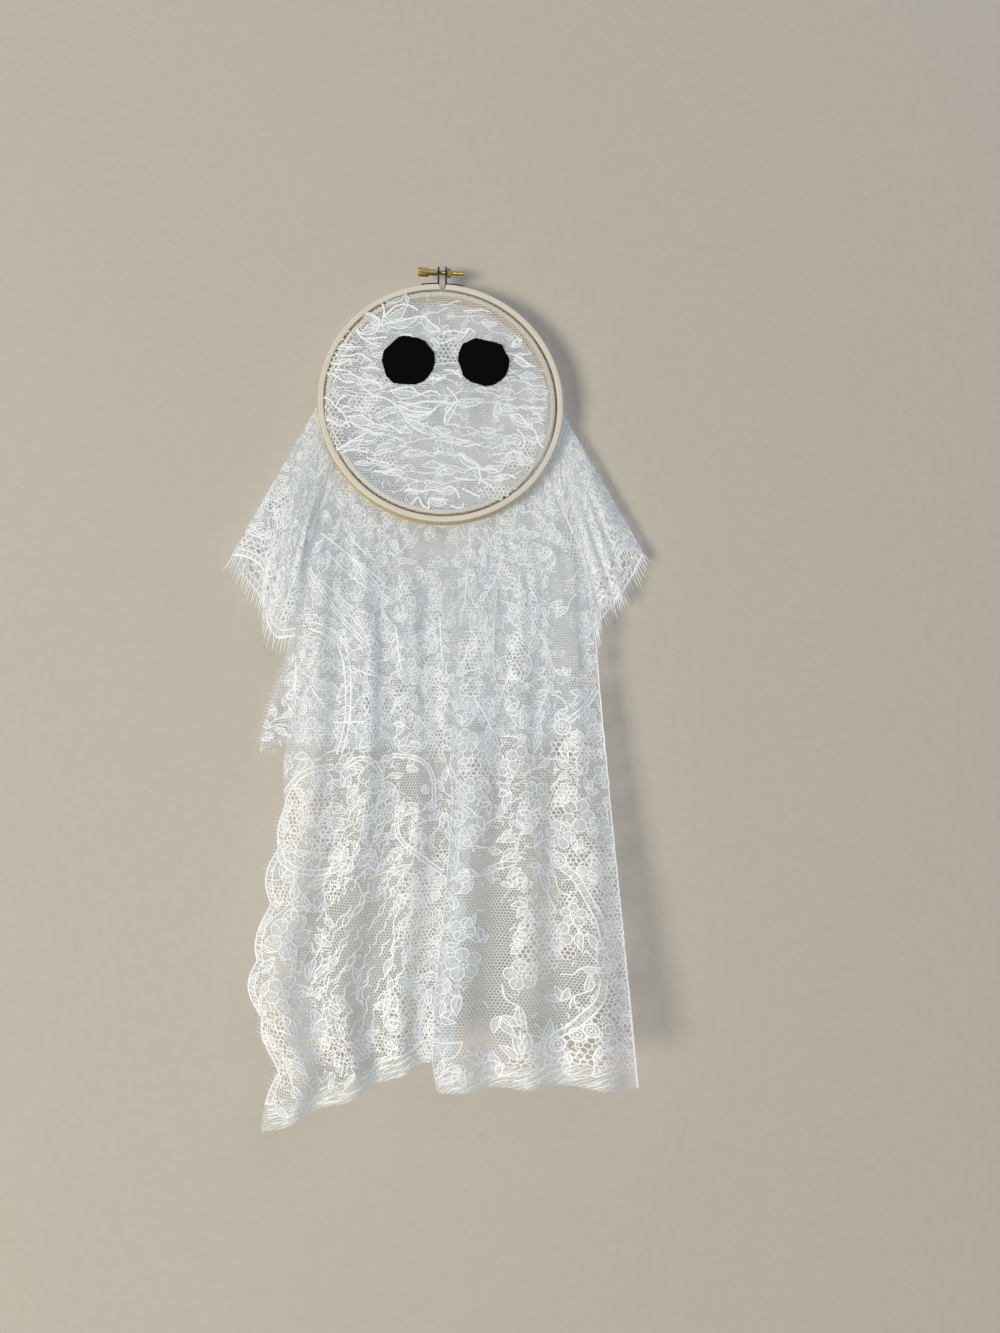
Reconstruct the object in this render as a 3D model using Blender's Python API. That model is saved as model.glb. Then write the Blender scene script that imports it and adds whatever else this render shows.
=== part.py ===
"""Embroidery hoop ghost: a bamboo hoop with felt eyes and one lace cloth that hangs from it.

Metres, +Z up. The front faces -Y and the back lies near a wall at +Y. The origin is the point
where a nail carries the hoop: the underside of the thumbscrew's shank, midway between the ears.
"""
import math

import bmesh
import bpy
from mathutils import Matrix, Vector

MM = 0.001

# Bamboo hoop
HOOP_OUTER_R = 80.4 * MM
HOOP_DEPTH = 10.0 * MM
OUTER_RING_WALL = 4.0 * MM
INNER_RING_WALL = 3.2 * MM
RING_EDGE_BREAK = 0.6 * MM
RING_SEGMENTS = 64
SPLIT_GAP_OUTSIDE = 5.4 * MM
SPLIT_GAP_INSIDE = 3.0 * MM

# Clamp of steel strip, screw and nut
EAR_GAP = 4.0 * MM
STRIP_THICKNESS = 1.0 * MM
STRIP_WIDTH = 7.0 * MM
FOOT_LENGTH = 11.0 * MM
SCREW_RISE = 10.0 * MM
EAR_ABOVE_SCREW = 3.5 * MM
EAR_CORNER = 2.4 * MM
SHANK_R = 1.35 * MM
HEAD_R = 2.9 * MM
HEAD_LENGTH = 7.2 * MM
KNURL_DEPTH = 0.25 * MM
KNURL_TEETH = 16
COLLAR_R = 1.95 * MM
COLLAR_LENGTH = 5.5 * MM
SHANK_PAST_NUT = 8.6 * MM
NUT_ACROSS_FLATS = 5.0 * MM
NUT_THICKNESS = 2.4 * MM
RIVET_SHANK_R = 0.9 * MM
RIVET_HEAD_R = 1.8 * MM
RIVET_HEAD_HEIGHT = 0.7 * MM
RIVET_REACH = 2.4 * MM
RIVET_FROM_EAR = 6.5 * MM
RIVET_DOME = [(0.0, 1.0), (0.6, 0.8), (1.0, 0.35)]

# Clearances
SEAT_GAP = 0.3 * MM
CLOTH_GAP = 0.4 * MM
HOLE_GAP = 0.3 * MM
SCREW_END_GAP = 0.4 * MM

# Felt eyes, outlines cut by hand, measured from each eye's own centre
EYE_THICKNESS = 1.2 * MM
LEFT_EYE_AT = (-21.6 * MM, 26.4 * MM)
RIGHT_EYE_AT = (27.6 * MM, 26.6 * MM)
LEFT_EYE_OUTLINE = [(-3.5, 16.3), (5.7, 15.0), (10.6, 12.9), (13.3, 9.2), (16.5, 5.4), (16.8, -0.5),
                    (15.4, -5.9), (12.7, -10.2), (9.5, -14.0), (4.1, -16.1), (-3.4, -16.2),
                    (-9.9, -15.6), (-14.8, -10.8), (-17.5, -0.5), (-16.1, 5.9), (-7.2, 15.1)]
RIGHT_EYE_OUTLINE = [(-5.7, 16.3), (6.2, 14.1), (11.8, 12.4), (13.8, 8.0), (16.6, 2.5), (16.1, -2.5),
                     (14.6, -7.7), (11.4, -11.2), (6.2, -15.0), (0.4, -15.9), (-8.8, -13.2),
                     (-13.5, -9.7), (-17.0, 1.0), (-16.7, 5.7), (-14.1, 12.0)]

# Lace cloth: heights are drops below the hoop's centre, x is measured from the hoop's centre
CLOTH_THICKNESS = 0.6 * MM
CLOTH_SEAM = 1.6 * MM
SLEEVE_DROP = 156.0 * MM
BACK_TIER_DROP = 229.0 * MM
BACK_ARCH_HEIGHT = 6.0 * MM
FOLD_TOP_DROP = 90.0 * MM
FOLD_WHOLE_DROP = 250.0 * MM
FOLD_OVERLAP = 14.0 * MM
FOLD_DEPTH = 5.5 * MM
FRONT_STANDOFF = 7.0 * MM
HEM_STANDOFF = 24.0 * MM
HEM_SWING = 9.0 * MM
BACK_STANDOFF = 6.5 * MM
FRONT_WAVE = 3.6 * MM
BACK_WAVE = 1.5 * MM
BACK_CORNER_X = -115.0 * MM
FRONT_ARC = (200.0, 340.0)
BACK_ARC = (380.0, 520.0)
FRONT_CELLS = 40
SLEEVE_CELLS = 10
BACK_CELLS = 20
UPPER_ROWS = 9
FRONT_LOWER_ROWS = 14
BACK_LOWER_ROWS = 4
FOLD_START = 0.44
FOLD_END = 0.62
FRONT_FOLDS = 7.0
BACK_FOLDS = 6.0
LEFT_STEP_START = 0.2
RIGHT_STEP_END = 0.85
CALM_HALF_WIDTH = 0.05
CALM_FADE = 0.14
SLEEVE_LEAN = 1.6
GAP_SHARE = 0.34

# Edges of the front skirt as (drop, x), in millimetres
LEFT_EDGE = [(20, -78), (68, -83), (159, -90), (240, -97), (268, -95), (294, -103), (330, -105),
             (352, -112), (372, -113), (384, -107), (398, -106), (412, -92), (434, -103), (452, -104)]
RIGHT_EDGE = [(20, 80), (77, 90), (157, 101), (259, 108), (345, 114), (430, 120)]
FOLD_LINE = [(80, 0), (140, 0), (260, 8), (310, 4), (350, 0), (375, -3), (410, -4), (430, 0)]
HEM = [(0.0, 452), (0.13, 440), (0.28, 426), (0.40, 415), (0.49, 410), (0.60, 428), (0.78, 427), (1.0, 430)]

# The big fold in plan, from left panel to right panel: shares of its overlap and of its depth
FOLD_PLAN = [(0.0, 0.75), (0.75, 1.0), (1.0, 0.45), (0.6, -0.15), (0.15, -0.65), (0.0, -1.0), (0.35, -1.0)]

# Lower edges of the sleeves as (x, drop, y), from the back tier round to the front skirt
LEFT_SLEEVE = [(-97, 152, 11.0), (-119, 126, 12.0), (-134, 104, 5.0), (-114, 112, -2.0),
               (-111, 138, -4.0), (-105, 156, -5.0), (-92, 158, -6.5)]
RIGHT_SLEEVE = [(99, 150, 11.0), (120, 126, 13.0), (135, 96, 6.0), (117, 100, -3.0),
                (116, 128, -4.0), (105, 130, -5.0), (101, 155, -6.5)]

# Places that follow from the sizes above
outer_ring_inner_r = HOOP_OUTER_R - OUTER_RING_WALL
cloth_r = outer_ring_inner_r - CLOTH_GAP - CLOTH_THICKNESS / 2
inner_ring_outer_r = cloth_r - CLOTH_THICKNESS / 2 - CLOTH_GAP
inner_ring_inner_r = inner_ring_outer_r - INNER_RING_WALL
half_depth = HOOP_DEPTH / 2
cloth_offset = half_depth + CLOTH_GAP + CLOTH_THICKNESS / 2
screw_height = HOOP_OUTER_R + SCREW_RISE
hoop_centre = Vector((0.0, 0.0, SHANK_R - screw_height))
ear_inner_x = EAR_GAP / 2
ear_outer_x = ear_inner_x + STRIP_THICKNESS
foot_r = HOOP_OUTER_R + SEAT_GAP
spread_length = SLEEVE_DROP - HOOP_OUTER_R


def clear_scene():
    for old in list(bpy.data.objects):
        bpy.data.objects.remove(old, do_unlink=True)


def make_material(name, colour, roughness, metallic=0.0):
    material = bpy.data.materials.new(name)
    material.use_nodes = True
    shader = material.node_tree.nodes["Principled BSDF"]
    shader.inputs["Base Color"].default_value = (*colour, 1.0)
    shader.inputs["Roughness"].default_value = roughness
    shader.inputs["Metallic"].default_value = metallic
    return material


def add_piece(name, bm, material, place=Vector((0, 0, 0)), smooth=False):
    bmesh.ops.recalc_face_normals(bm, faces=bm.faces)
    mesh = bpy.data.meshes.new(name)
    bm.to_mesh(mesh)
    bm.free()
    piece = bpy.data.objects.new(name, mesh)
    piece.location = place
    bpy.context.scene.collection.objects.link(piece)
    mesh.materials.append(material)
    if smooth:
        mesh.shade_smooth()
        mesh.set_sharp_from_angle(angle=math.radians(35))
    return piece


def cut(piece, cutter):
    cutter.hide_render = True
    cutter.display_type = "WIRE"
    modifier = piece.modifiers.new("cut " + cutter.name, "BOOLEAN")
    modifier.operation = "DIFFERENCE"
    modifier.object = cutter


def rod(name, radius, start, end, material, sides=24):
    """A round bar between two points."""
    axis = end - start
    bm = bmesh.new()
    bmesh.ops.create_cone(bm, cap_ends=True, segments=sides, radius1=radius, radius2=radius,
                          depth=axis.length)
    turn = Vector((0, 0, 1)).rotation_difference(axis).to_matrix().to_4x4()
    bmesh.ops.transform(bm, matrix=Matrix.Translation((start + end) / 2) @ turn, verts=bm.verts)
    return add_piece(name, bm, material, smooth=True)


def loft(bm, loops, closed):
    """Skin a list of equal vertex loops, capping both ends unless it closes on itself."""
    count = len(loops[0])
    pairs = list(zip(loops, loops[1:]))
    if closed:
        pairs.append((loops[-1], loops[0]))
    for near, far in pairs:
        for i in range(count):
            j = (i + 1) % count
            bm.faces.new((near[i], near[j], far[j], far[i]))
    if not closed:
        bm.faces.new(loops[0])
        bm.faces.new(list(reversed(loops[-1])))


def ring_section(inner_r, outer_r):
    """The bamboo strip's section as (radius, y), with its long edges broken."""
    e = RING_EDGE_BREAK
    return [(inner_r + e, -half_depth), (outer_r - e, -half_depth), (outer_r, -half_depth + e),
            (outer_r, half_depth - e), (outer_r - e, half_depth), (inner_r + e, half_depth),
            (inner_r, half_depth - e), (inner_r, -half_depth + e)]


def hoop_point(radius, angle, y=0.0):
    return hoop_centre + Vector((radius * math.cos(angle), y, radius * math.sin(angle)))


def split_angle(radius):
    """Half the angle of the V-shaped split at a radius of the outer ring."""
    share = (radius - outer_ring_inner_r) / OUTER_RING_WALL
    width = SPLIT_GAP_INSIDE + (SPLIT_GAP_OUTSIDE - SPLIT_GAP_INSIDE) * share
    return math.asin(width / 2 / radius)


def make_rings(bamboo):
    bm = bmesh.new()
    loops = []
    for i in range(RING_SEGMENTS):
        angle = 2 * math.pi * i / RING_SEGMENTS
        section = ring_section(inner_ring_inner_r, inner_ring_outer_r)
        loops.append([bm.verts.new(hoop_point(r, angle, y)) for r, y in section])
    loft(bm, loops, closed=True)
    add_piece("inner_ring", bm, bamboo, smooth=True)

    bm = bmesh.new()
    loops = []
    for i in range(RING_SEGMENTS + 1):
        share = i / RING_SEGMENTS
        loop = []
        for r, y in ring_section(outer_ring_inner_r, HOOP_OUTER_R):
            start = math.pi / 2 + split_angle(r)
            end = math.pi * 5 / 2 - split_angle(r)
            loop.append(bm.verts.new(hoop_point(r, start + (end - start) * share, y)))
        loops.append(loop)
    loft(bm, loops, closed=False)
    return add_piece("outer_ring", bm, bamboo, smooth=True)


def make_bracket(side, name, steel):
    """A steel strip: its foot follows the ring, its ear stands up and carries the screw."""
    ear_angle = math.acos(ear_outer_x / foot_r)
    steps = 5
    ear_top = screw_height + EAR_ABOVE_SCREW
    outline = [(ear_inner_x, ear_top), (ear_inner_x, math.sqrt(foot_r**2 - ear_inner_x**2))]
    for i in range(steps + 1):
        angle = ear_angle - FOOT_LENGTH / foot_r * i / steps
        outline.append((foot_r * math.cos(angle), foot_r * math.sin(angle)))
    back_r = foot_r + STRIP_THICKNESS
    corner_angle = math.acos(ear_outer_x / back_r)
    for i in range(steps, -1, -1):
        angle = corner_angle - FOOT_LENGTH / foot_r * i / steps
        outline.append((back_r * math.cos(angle), back_r * math.sin(angle)))
    outline.append((ear_outer_x, ear_top))
    bm = bmesh.new()
    loops = []
    for y in (-STRIP_WIDTH / 2, STRIP_WIDTH / 2):
        loops.append([bm.verts.new(hoop_centre + Vector((side * x, y, z))) for x, z in outline])
    loft(bm, loops, closed=False)
    tips = [edge for edge in bm.edges
            if all(abs(v.co.z - hoop_centre.z - ear_top) < MM / 100 for v in edge.verts)
            and abs(edge.verts[0].co.y - edge.verts[1].co.y) < MM / 100]
    bmesh.ops.bevel(bm, geom=tips, offset=EAR_CORNER, segments=3, profile=0.5, affect="EDGES")
    return add_piece(name, bm, steel)


def rivet_line(side):
    """Where a rivet enters the ring: a point on the strip's outside and the way inwards."""
    angle = math.acos(ear_outer_x / foot_r) - RIVET_FROM_EAR / foot_r
    outwards = Vector((side * math.cos(angle), 0.0, math.sin(angle)))
    return hoop_centre + outwards * (foot_r + STRIP_THICKNESS), outwards


def make_rivet(side, name, steel):
    top, outwards = rivet_line(side)
    tail = top - outwards * (STRIP_THICKNESS + SEAT_GAP + RIVET_REACH)
    seat = SEAT_GAP
    profile = [((tail - top).dot(outwards), RIVET_SHANK_R), (seat, RIVET_SHANK_R)]
    profile += [(seat + RIVET_HEAD_HEIGHT * rise, RIVET_HEAD_R * width) for rise, width in RIVET_DOME]
    turn = Vector((0, 0, 1)).rotation_difference(outwards).to_matrix()
    bm = bmesh.new()
    sides = 16
    loops = []
    for along, radius in profile:
        loop = []
        for i in range(sides):
            angle = 2 * math.pi * i / sides
            spot = turn @ Vector((radius * math.cos(angle), radius * math.sin(angle), 0.0))
            loop.append(bm.verts.new(top + outwards * along + spot))
        loops.append(loop)
    loft(bm, loops, closed=False)
    add_piece(name, bm, steel, smooth=True)


def make_clamp(outer_ring, steel, brass):
    for side, word in ((-1, "left"), (1, "right")):
        bracket = make_bracket(side, word + "_clamp_bracket", steel)
        top, outwards = rivet_line(side)
        rivet_hole = rod(word + "_rivet_hole", RIVET_SHANK_R + HOLE_GAP, top + outwards * STRIP_THICKNESS,
                         top - outwards * (STRIP_THICKNESS + SEAT_GAP + RIVET_REACH + HOLE_GAP), steel, 16)
        screw_hole = rod(word + "_screw_hole", SHANK_R + HOLE_GAP, Vector((side * EAR_GAP / 4, 0, -SHANK_R)),
                         Vector((side * (ear_outer_x + EAR_GAP / 4), 0, -SHANK_R)), steel)
        screw_hole.location.z = 2 * SHANK_R
        cut(bracket, rivet_hole)
        cut(bracket, screw_hole)
        cut(outer_ring, rivet_hole)
        make_rivet(side, word + "_bracket_rivet", steel)
    make_thumbscrew(brass)
    make_nut(brass)


def make_thumbscrew(brass):
    """Knurled head, plain collar and shank, turned from one bar; it turns about its own X axis."""
    collar_end = -(ear_outer_x + SCREW_END_GAP)
    collar_start = collar_end - COLLAR_LENGTH
    head_start = collar_start - HEAD_LENGTH
    shank_end = ear_outer_x + SEAT_GAP + NUT_THICKNESS + SHANK_PAST_NUT
    chamfer = 0.4 * MM
    profile = [(head_start, HEAD_R - chamfer, 0), (head_start + chamfer, HEAD_R, 1),
               (collar_start - chamfer, HEAD_R, 1), (collar_start, HEAD_R - chamfer, 0),
               (collar_start, COLLAR_R, 0), (collar_end, COLLAR_R, 0), (collar_end, SHANK_R, 0),
               (shank_end - chamfer, SHANK_R, 0), (shank_end, SHANK_R - chamfer, 0)]
    sides = 2 * KNURL_TEETH
    bm = bmesh.new()
    loops = []
    for x, radius, knurled in profile:
        loop = []
        for i in range(sides):
            r = radius - KNURL_DEPTH * knurled * (i % 2)
            angle = 2 * math.pi * i / sides
            loop.append(bm.verts.new((x, r * math.cos(angle), r * math.sin(angle))))
        loops.append(loop)
    loft(bm, loops, closed=False)
    add_piece("thumbscrew", bm, brass, place=Vector((0, 0, SHANK_R)), smooth=True)


def make_nut(brass):
    """A hexagon nut against the right ear, its thread left plain."""
    near = ear_outer_x + SEAT_GAP
    bm = bmesh.new()
    loops = []
    for x in (near, near + NUT_THICKNESS):
        loop = []
        for i in range(6):
            angle = math.radians(60 * i)
            r = NUT_ACROSS_FLATS / math.sqrt(3)
            loop.append(bm.verts.new((x, r * math.cos(angle), SHANK_R + r * math.sin(angle))))
        loops.append(loop)
    loft(bm, loops, closed=False)
    nut = add_piece("clamp_nut", bm, brass)
    bore = rod("nut_bore", SHANK_R + HOLE_GAP, Vector((near - NUT_THICKNESS, 0, SHANK_R)),
               Vector((near + 2 * NUT_THICKNESS, 0, SHANK_R)), brass)
    cut(nut, bore)


def make_eye(name, centre, outline, felt):
    back = -(cloth_offset + CLOTH_THICKNESS / 2 + SEAT_GAP)
    bm = bmesh.new()
    loops = []
    for y in (back, back - EYE_THICKNESS):
        loops.append([bm.verts.new(hoop_centre + Vector((centre[0] + x * MM, y, centre[1] + z * MM)))
                      for x, z in outline])
    loft(bm, loops, closed=False)
    add_piece(name, bm, felt)


def ease(start, end, value):
    """Goes smoothly from 0 at start to 1 at end, which may lie below start."""
    t = min(max((value - start) / (end - start), 0.0), 1.0)
    return t * t * (3 - 2 * t)


def read_line(line, at):
    """The value of a hand-drawn line of (place, value) pairs, straight between its points."""
    for (a, first), (b, second) in zip(line, line[1:]):
        if at <= b:
            return first + (second - first) * max((at - a) / (b - a), 0.0)
    return line[-1][1]


def blend(first, second, share):
    return first + (second - first) * share


def along(points, share):
    """A point at a share of the way along a smooth curve through evenly spaced points."""
    place = min(max(share, 0.0), 1.0) * (len(points) - 1)
    i = min(int(place), len(points) - 2)
    t = place - i
    before, a, b, after = (Vector(points[min(max(i + k, 0), len(points) - 1)]) for k in (-1, 0, 1, 2))
    return a + ((b - before) + (2 * before - 5 * a + 4 * b - after) * t
                + (3 * a - before - 3 * b + after) * t * t) * t / 2


def fold_share(s):
    return (s - FOLD_START) / (FOLD_END - FOLD_START)


def fold_opened(z):
    """The big fold starts under the hoop and is whole some way further down."""
    return ease(FOLD_TOP_DROP, FOLD_WHOLE_DROP, -z)


def front_x(s, z):
    """Across the front skirt: left panel, the fold that doubles back, then the right panel."""
    drop = -z / MM
    left = read_line(LEFT_EDGE, drop) * MM
    right = read_line(RIGHT_EDGE, drop) * MM
    fold = read_line(FOLD_LINE, drop) * MM
    if s < FOLD_START:
        folded = blend(left, fold + FOLD_OVERLAP * FOLD_PLAN[0][0], s / FOLD_START)
    elif s < FOLD_END:
        folded = fold + FOLD_OVERLAP * along(FOLD_PLAN, fold_share(s))[0]
    else:
        folded = blend(fold + FOLD_OVERLAP * FOLD_PLAN[-1][0], right, (s - FOLD_END) / (1 - FOLD_END))
    return blend(blend(left, right, s), folded, fold_opened(z))


def front_y(s, z):
    """How far the front skirt stands forward, with its waves and the step at the fold."""
    down = ease(HOOP_OUTER_R, SLEEVE_DROP, -z)
    low = ease(SLEEVE_DROP, BACK_TIER_DROP * 2, -z)
    plane = -FRONT_STANDOFF * down - (HEM_STANDOFF - FRONT_STANDOFF + HEM_SWING * s) * low
    if s < FOLD_START:
        step = FOLD_PLAN[0][1] * ease(LEFT_STEP_START, FOLD_START, s)
    elif s < FOLD_END:
        step = along(FOLD_PLAN, fold_share(s))[1]
    else:
        step = FOLD_PLAN[-1][1] * ease(RIGHT_STEP_END, FOLD_END, s)
    near_fold = ease(0.0, CALM_FADE, abs(s - (FOLD_START + FOLD_END) / 2) - CALM_HALF_WIDTH)
    wave = FRONT_WAVE * (0.5 + low) * math.cos(2 * math.pi * FRONT_FOLDS * s) * near_fold
    return plane + FOLD_DEPTH * step * fold_opened(z) + wave


def front_point(angle, s, row):
    start = Vector((cloth_r * math.cos(angle), cloth_offset, cloth_r * math.sin(angle)))
    if row <= UPPER_ROWS:
        z = blend(start.z, -SLEEVE_DROP, row / UPPER_ROWS)
    else:
        hem = -read_line(HEM, s) * MM
        z = blend(-SLEEVE_DROP, hem, (row - UPPER_ROWS) / FRONT_LOWER_ROWS)
    x = blend(start.x, front_x(s, z), ease(0.0, spread_length, start.z - z))
    past_ring = math.hypot(x, z) - HOOP_OUTER_R - CLOTH_GAP
    y = blend(cloth_offset, front_y(s, z), ease(0.0, spread_length, past_ring))
    return Vector((x, y, z))


def back_point(angle, s, row):
    """The shorter tier behind the hoop; s runs from its right edge to its left edge."""
    start = Vector((cloth_r * math.cos(angle), cloth_offset, cloth_r * math.sin(angle)))
    middle_drop = blend(RIGHT_SLEEVE[0][1], LEFT_SLEEVE[0][1], s) * MM
    if row <= UPPER_ROWS:
        z = blend(start.z, -middle_drop, row / UPPER_ROWS)
    else:
        arch = BACK_ARCH_HEIGHT * abs(math.sin(math.pi * BACK_FOLDS * s))
        z = blend(-middle_drop, arch - BACK_TIER_DROP, (row - UPPER_ROWS) / BACK_LOWER_ROWS)
    left = blend(LEFT_SLEEVE[0][0] * MM, BACK_CORNER_X, ease(middle_drop, BACK_TIER_DROP, -z))
    right = RIGHT_SLEEVE[0][0] * MM
    fall = start.z - z
    x = blend(start.x, blend(right, left, s), ease(0.0, spread_length * 2, fall))
    wave = BACK_WAVE * math.cos(2 * math.pi * BACK_FOLDS * s)
    away = cloth_offset + BACK_STANDOFF + wave
    y = blend(cloth_offset, away, ease(0.0, spread_length, fall))
    return Vector((x, y, z))


def sleeve_point(edge, angle, s, row):
    """A sleeve is drawn straight from the ring to its lower edge; s runs from back to front."""
    start = Vector((cloth_r * math.cos(angle), cloth_offset, cloth_r * math.sin(angle)))
    x, drop, y = along(edge, s) * MM
    share = row / UPPER_ROWS
    spot = start.lerp(Vector((x, 0.0, -drop)), share)
    past_ring = math.hypot(spot.x, spot.z) - HOOP_OUTER_R - CLOTH_GAP
    if y > cloth_offset:
        moved = ease(0.0, spread_length, (start.z - spot.z) * SLEEVE_LEAN)
    else:
        moved = ease(0.0, spread_length, past_ring * SLEEVE_LEAN)
    spot.y = blend(cloth_offset, y, moved)
    return spot


def cloth_columns(first, last, cells, place):
    """Columns of the cloth as (angle, share, function of row) for one stretch of the hoop."""
    columns = []
    for i in range(cells + 1):
        s = i / cells
        angle = math.radians(blend(first, last, s))
        columns.append((angle, s, lambda row, a=angle, s=s: place(a, s, row)))
    return columns


def hanging_strand(column, last_row):
    """One column of hanging cloth, from between the rings down to its lower edge."""
    angle, _, place = column
    start = Vector((cloth_r * math.cos(angle), cloth_offset - CLOTH_THICKNESS, cloth_r * math.sin(angle)))
    return [start] + [place(row) for row in range(last_row + 1)]


def beside(strand, towards):
    """A strand that leaves a narrow seam to the first one, on the side of the second."""
    return [near + (far - near).normalized() * CLOTH_SEAM for near, far in zip(strand, towards)]


def is_gap(column, row):
    """Openwork cells of the lower skirt, in slanting bands as the scrolls of the lace run."""
    if not UPPER_ROWS + 2 <= row < UPPER_ROWS + FRONT_LOWER_ROWS - 1:
        return False
    if not 2 <= column < FRONT_CELLS - 2 or FOLD_START - 0.03 < column / FRONT_CELLS < FOLD_END:
        return False
    return (column + 2 * row) % 9 in (0, 2, 4) and (column + row) % 2 == 0


def pierce(bm, corners):
    """Fill a cell of the sheet but for a diamond in its middle."""
    middle = sum((corner.co for corner in corners), Vector()) / 4
    tips = []
    for first, second in zip(corners, corners[1:] + corners[:1]):
        halfway = (first.co + second.co) / 2
        tips.append(bm.verts.new(middle + (halfway - middle) * 2 * GAP_SHARE))
    for i in range(4):
        bm.faces.new((corners[i], corners[(i + 1) % 4], tips[i]))
        bm.faces.new((corners[i], tips[i], tips[i - 1]))


def skin_cloth(name, strands, lace, closed=False, centre=None, front_from=None):
    """Join neighbouring strands into a sheet with the cloth's thickness."""
    bm = bmesh.new()
    grid = [[bm.verts.new(hoop_centre + spot) for spot in strand] for strand in strands]
    pairs = list(zip(grid, grid[1:]))
    if closed:
        pairs.append((grid[-1], grid[0]))
    if centre is not None:
        middle = bm.verts.new(hoop_centre + centre)
        for strand, after in pairs:
            bm.faces.new((middle, strand[0], after[0]))
    for i, (strand, after) in enumerate(pairs):
        for k in range(min(len(strand), len(after)) - 1):
            corners = (strand[k], strand[k + 1], after[k + 1], after[k])
            if front_from is not None and is_gap(i - front_from, k - 1):
                pierce(bm, corners)
            else:
                bm.faces.new(corners)
    bmesh.ops.triangulate(bm, faces=bm.faces)
    piece = add_piece(name, bm, lace, smooth=True)
    wall = piece.modifiers.new("thickness", "SOLIDIFY")
    wall.thickness = CLOTH_THICKNESS
    wall.offset = 0.0
    wall.use_even_offset = True
    return piece


def make_hoop_cloth(angles, lace):
    """The stretched face, and the band of cloth clamped between the rings."""
    face = [(cloth_r - CLOTH_THICKNESS, -cloth_offset)]
    band = [(cloth_r, CLOTH_THICKNESS - cloth_offset),
            (cloth_r, cloth_offset - CLOTH_THICKNESS * 2 - SEAT_GAP)]
    for name, outline, middle in (("lace_face", face, Vector((0.0, -cloth_offset, 0.0))),
                                  ("lace_band", band, None)):
        strands = [[Vector((r * math.cos(angle), y, r * math.sin(angle))) for r, y in outline]
                   for angle in angles]
        skin_cloth(name, strands, lace, closed=True, centre=middle)


def make_cloth(lace):
    """One sheet, in four nodes: face, band between the rings, front skirt with sleeves, back tier."""
    front = cloth_columns(FRONT_ARC[0], FRONT_ARC[1], FRONT_CELLS, front_point)
    back = cloth_columns(BACK_ARC[0], BACK_ARC[1], BACK_CELLS, back_point)
    right = cloth_columns(FRONT_ARC[1], BACK_ARC[0], SLEEVE_CELLS,
                          lambda a, s, row: sleeve_point(RIGHT_SLEEVE, a, 1 - s, row))[1:-1]
    left = cloth_columns(BACK_ARC[1], FRONT_ARC[0] + 360, SLEEVE_CELLS,
                         lambda a, s, row: sleeve_point(LEFT_SLEEVE, a, s, row))[1:-1]
    make_hoop_cloth([column[0] for column in front + right + back + left], lace)

    back_strands = [hanging_strand(column, UPPER_ROWS + BACK_LOWER_ROWS) for column in back]
    skin_cloth("lace_back_tier", back_strands, lace)

    left_strands = [hanging_strand(column, UPPER_ROWS) for column in left]
    right_strands = [hanging_strand(column, UPPER_ROWS) for column in right]
    front_strands = [hanging_strand(column, UPPER_ROWS + FRONT_LOWER_ROWS) for column in front]
    left_strands.insert(0, beside(back_strands[-1], left_strands[0]))
    right_strands.append(beside(back_strands[0], right_strands[-1]))
    skin_cloth("lace_skirt", left_strands + front_strands + right_strands, lace,
               front_from=len(left_strands))


def build():
    clear_scene()
    bamboo = make_material("bamboo", (0.62, 0.52, 0.34), 0.55)
    steel = make_material("blackened steel", (0.02, 0.02, 0.022), 0.45, 0.9)
    brass = make_material("brass", (0.60, 0.42, 0.16), 0.35, 1.0)
    felt = make_material("black felt", (0.003, 0.003, 0.004), 0.95)
    lace = make_material("white lace", (0.80, 0.82, 0.84), 0.85)
    outer_ring = make_rings(bamboo)
    make_clamp(outer_ring, steel, brass)
    make_eye("left_eye", LEFT_EYE_AT, LEFT_EYE_OUTLINE, felt)
    make_eye("right_eye", RIGHT_EYE_AT, RIGHT_EYE_OUTLINE, felt)
    make_cloth(lace)


build()
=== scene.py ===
"""Embroidery hoop ghost decoration, dressed on its CAD frame. Metres, +Z up, the front faces -Y."""
import math

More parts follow.
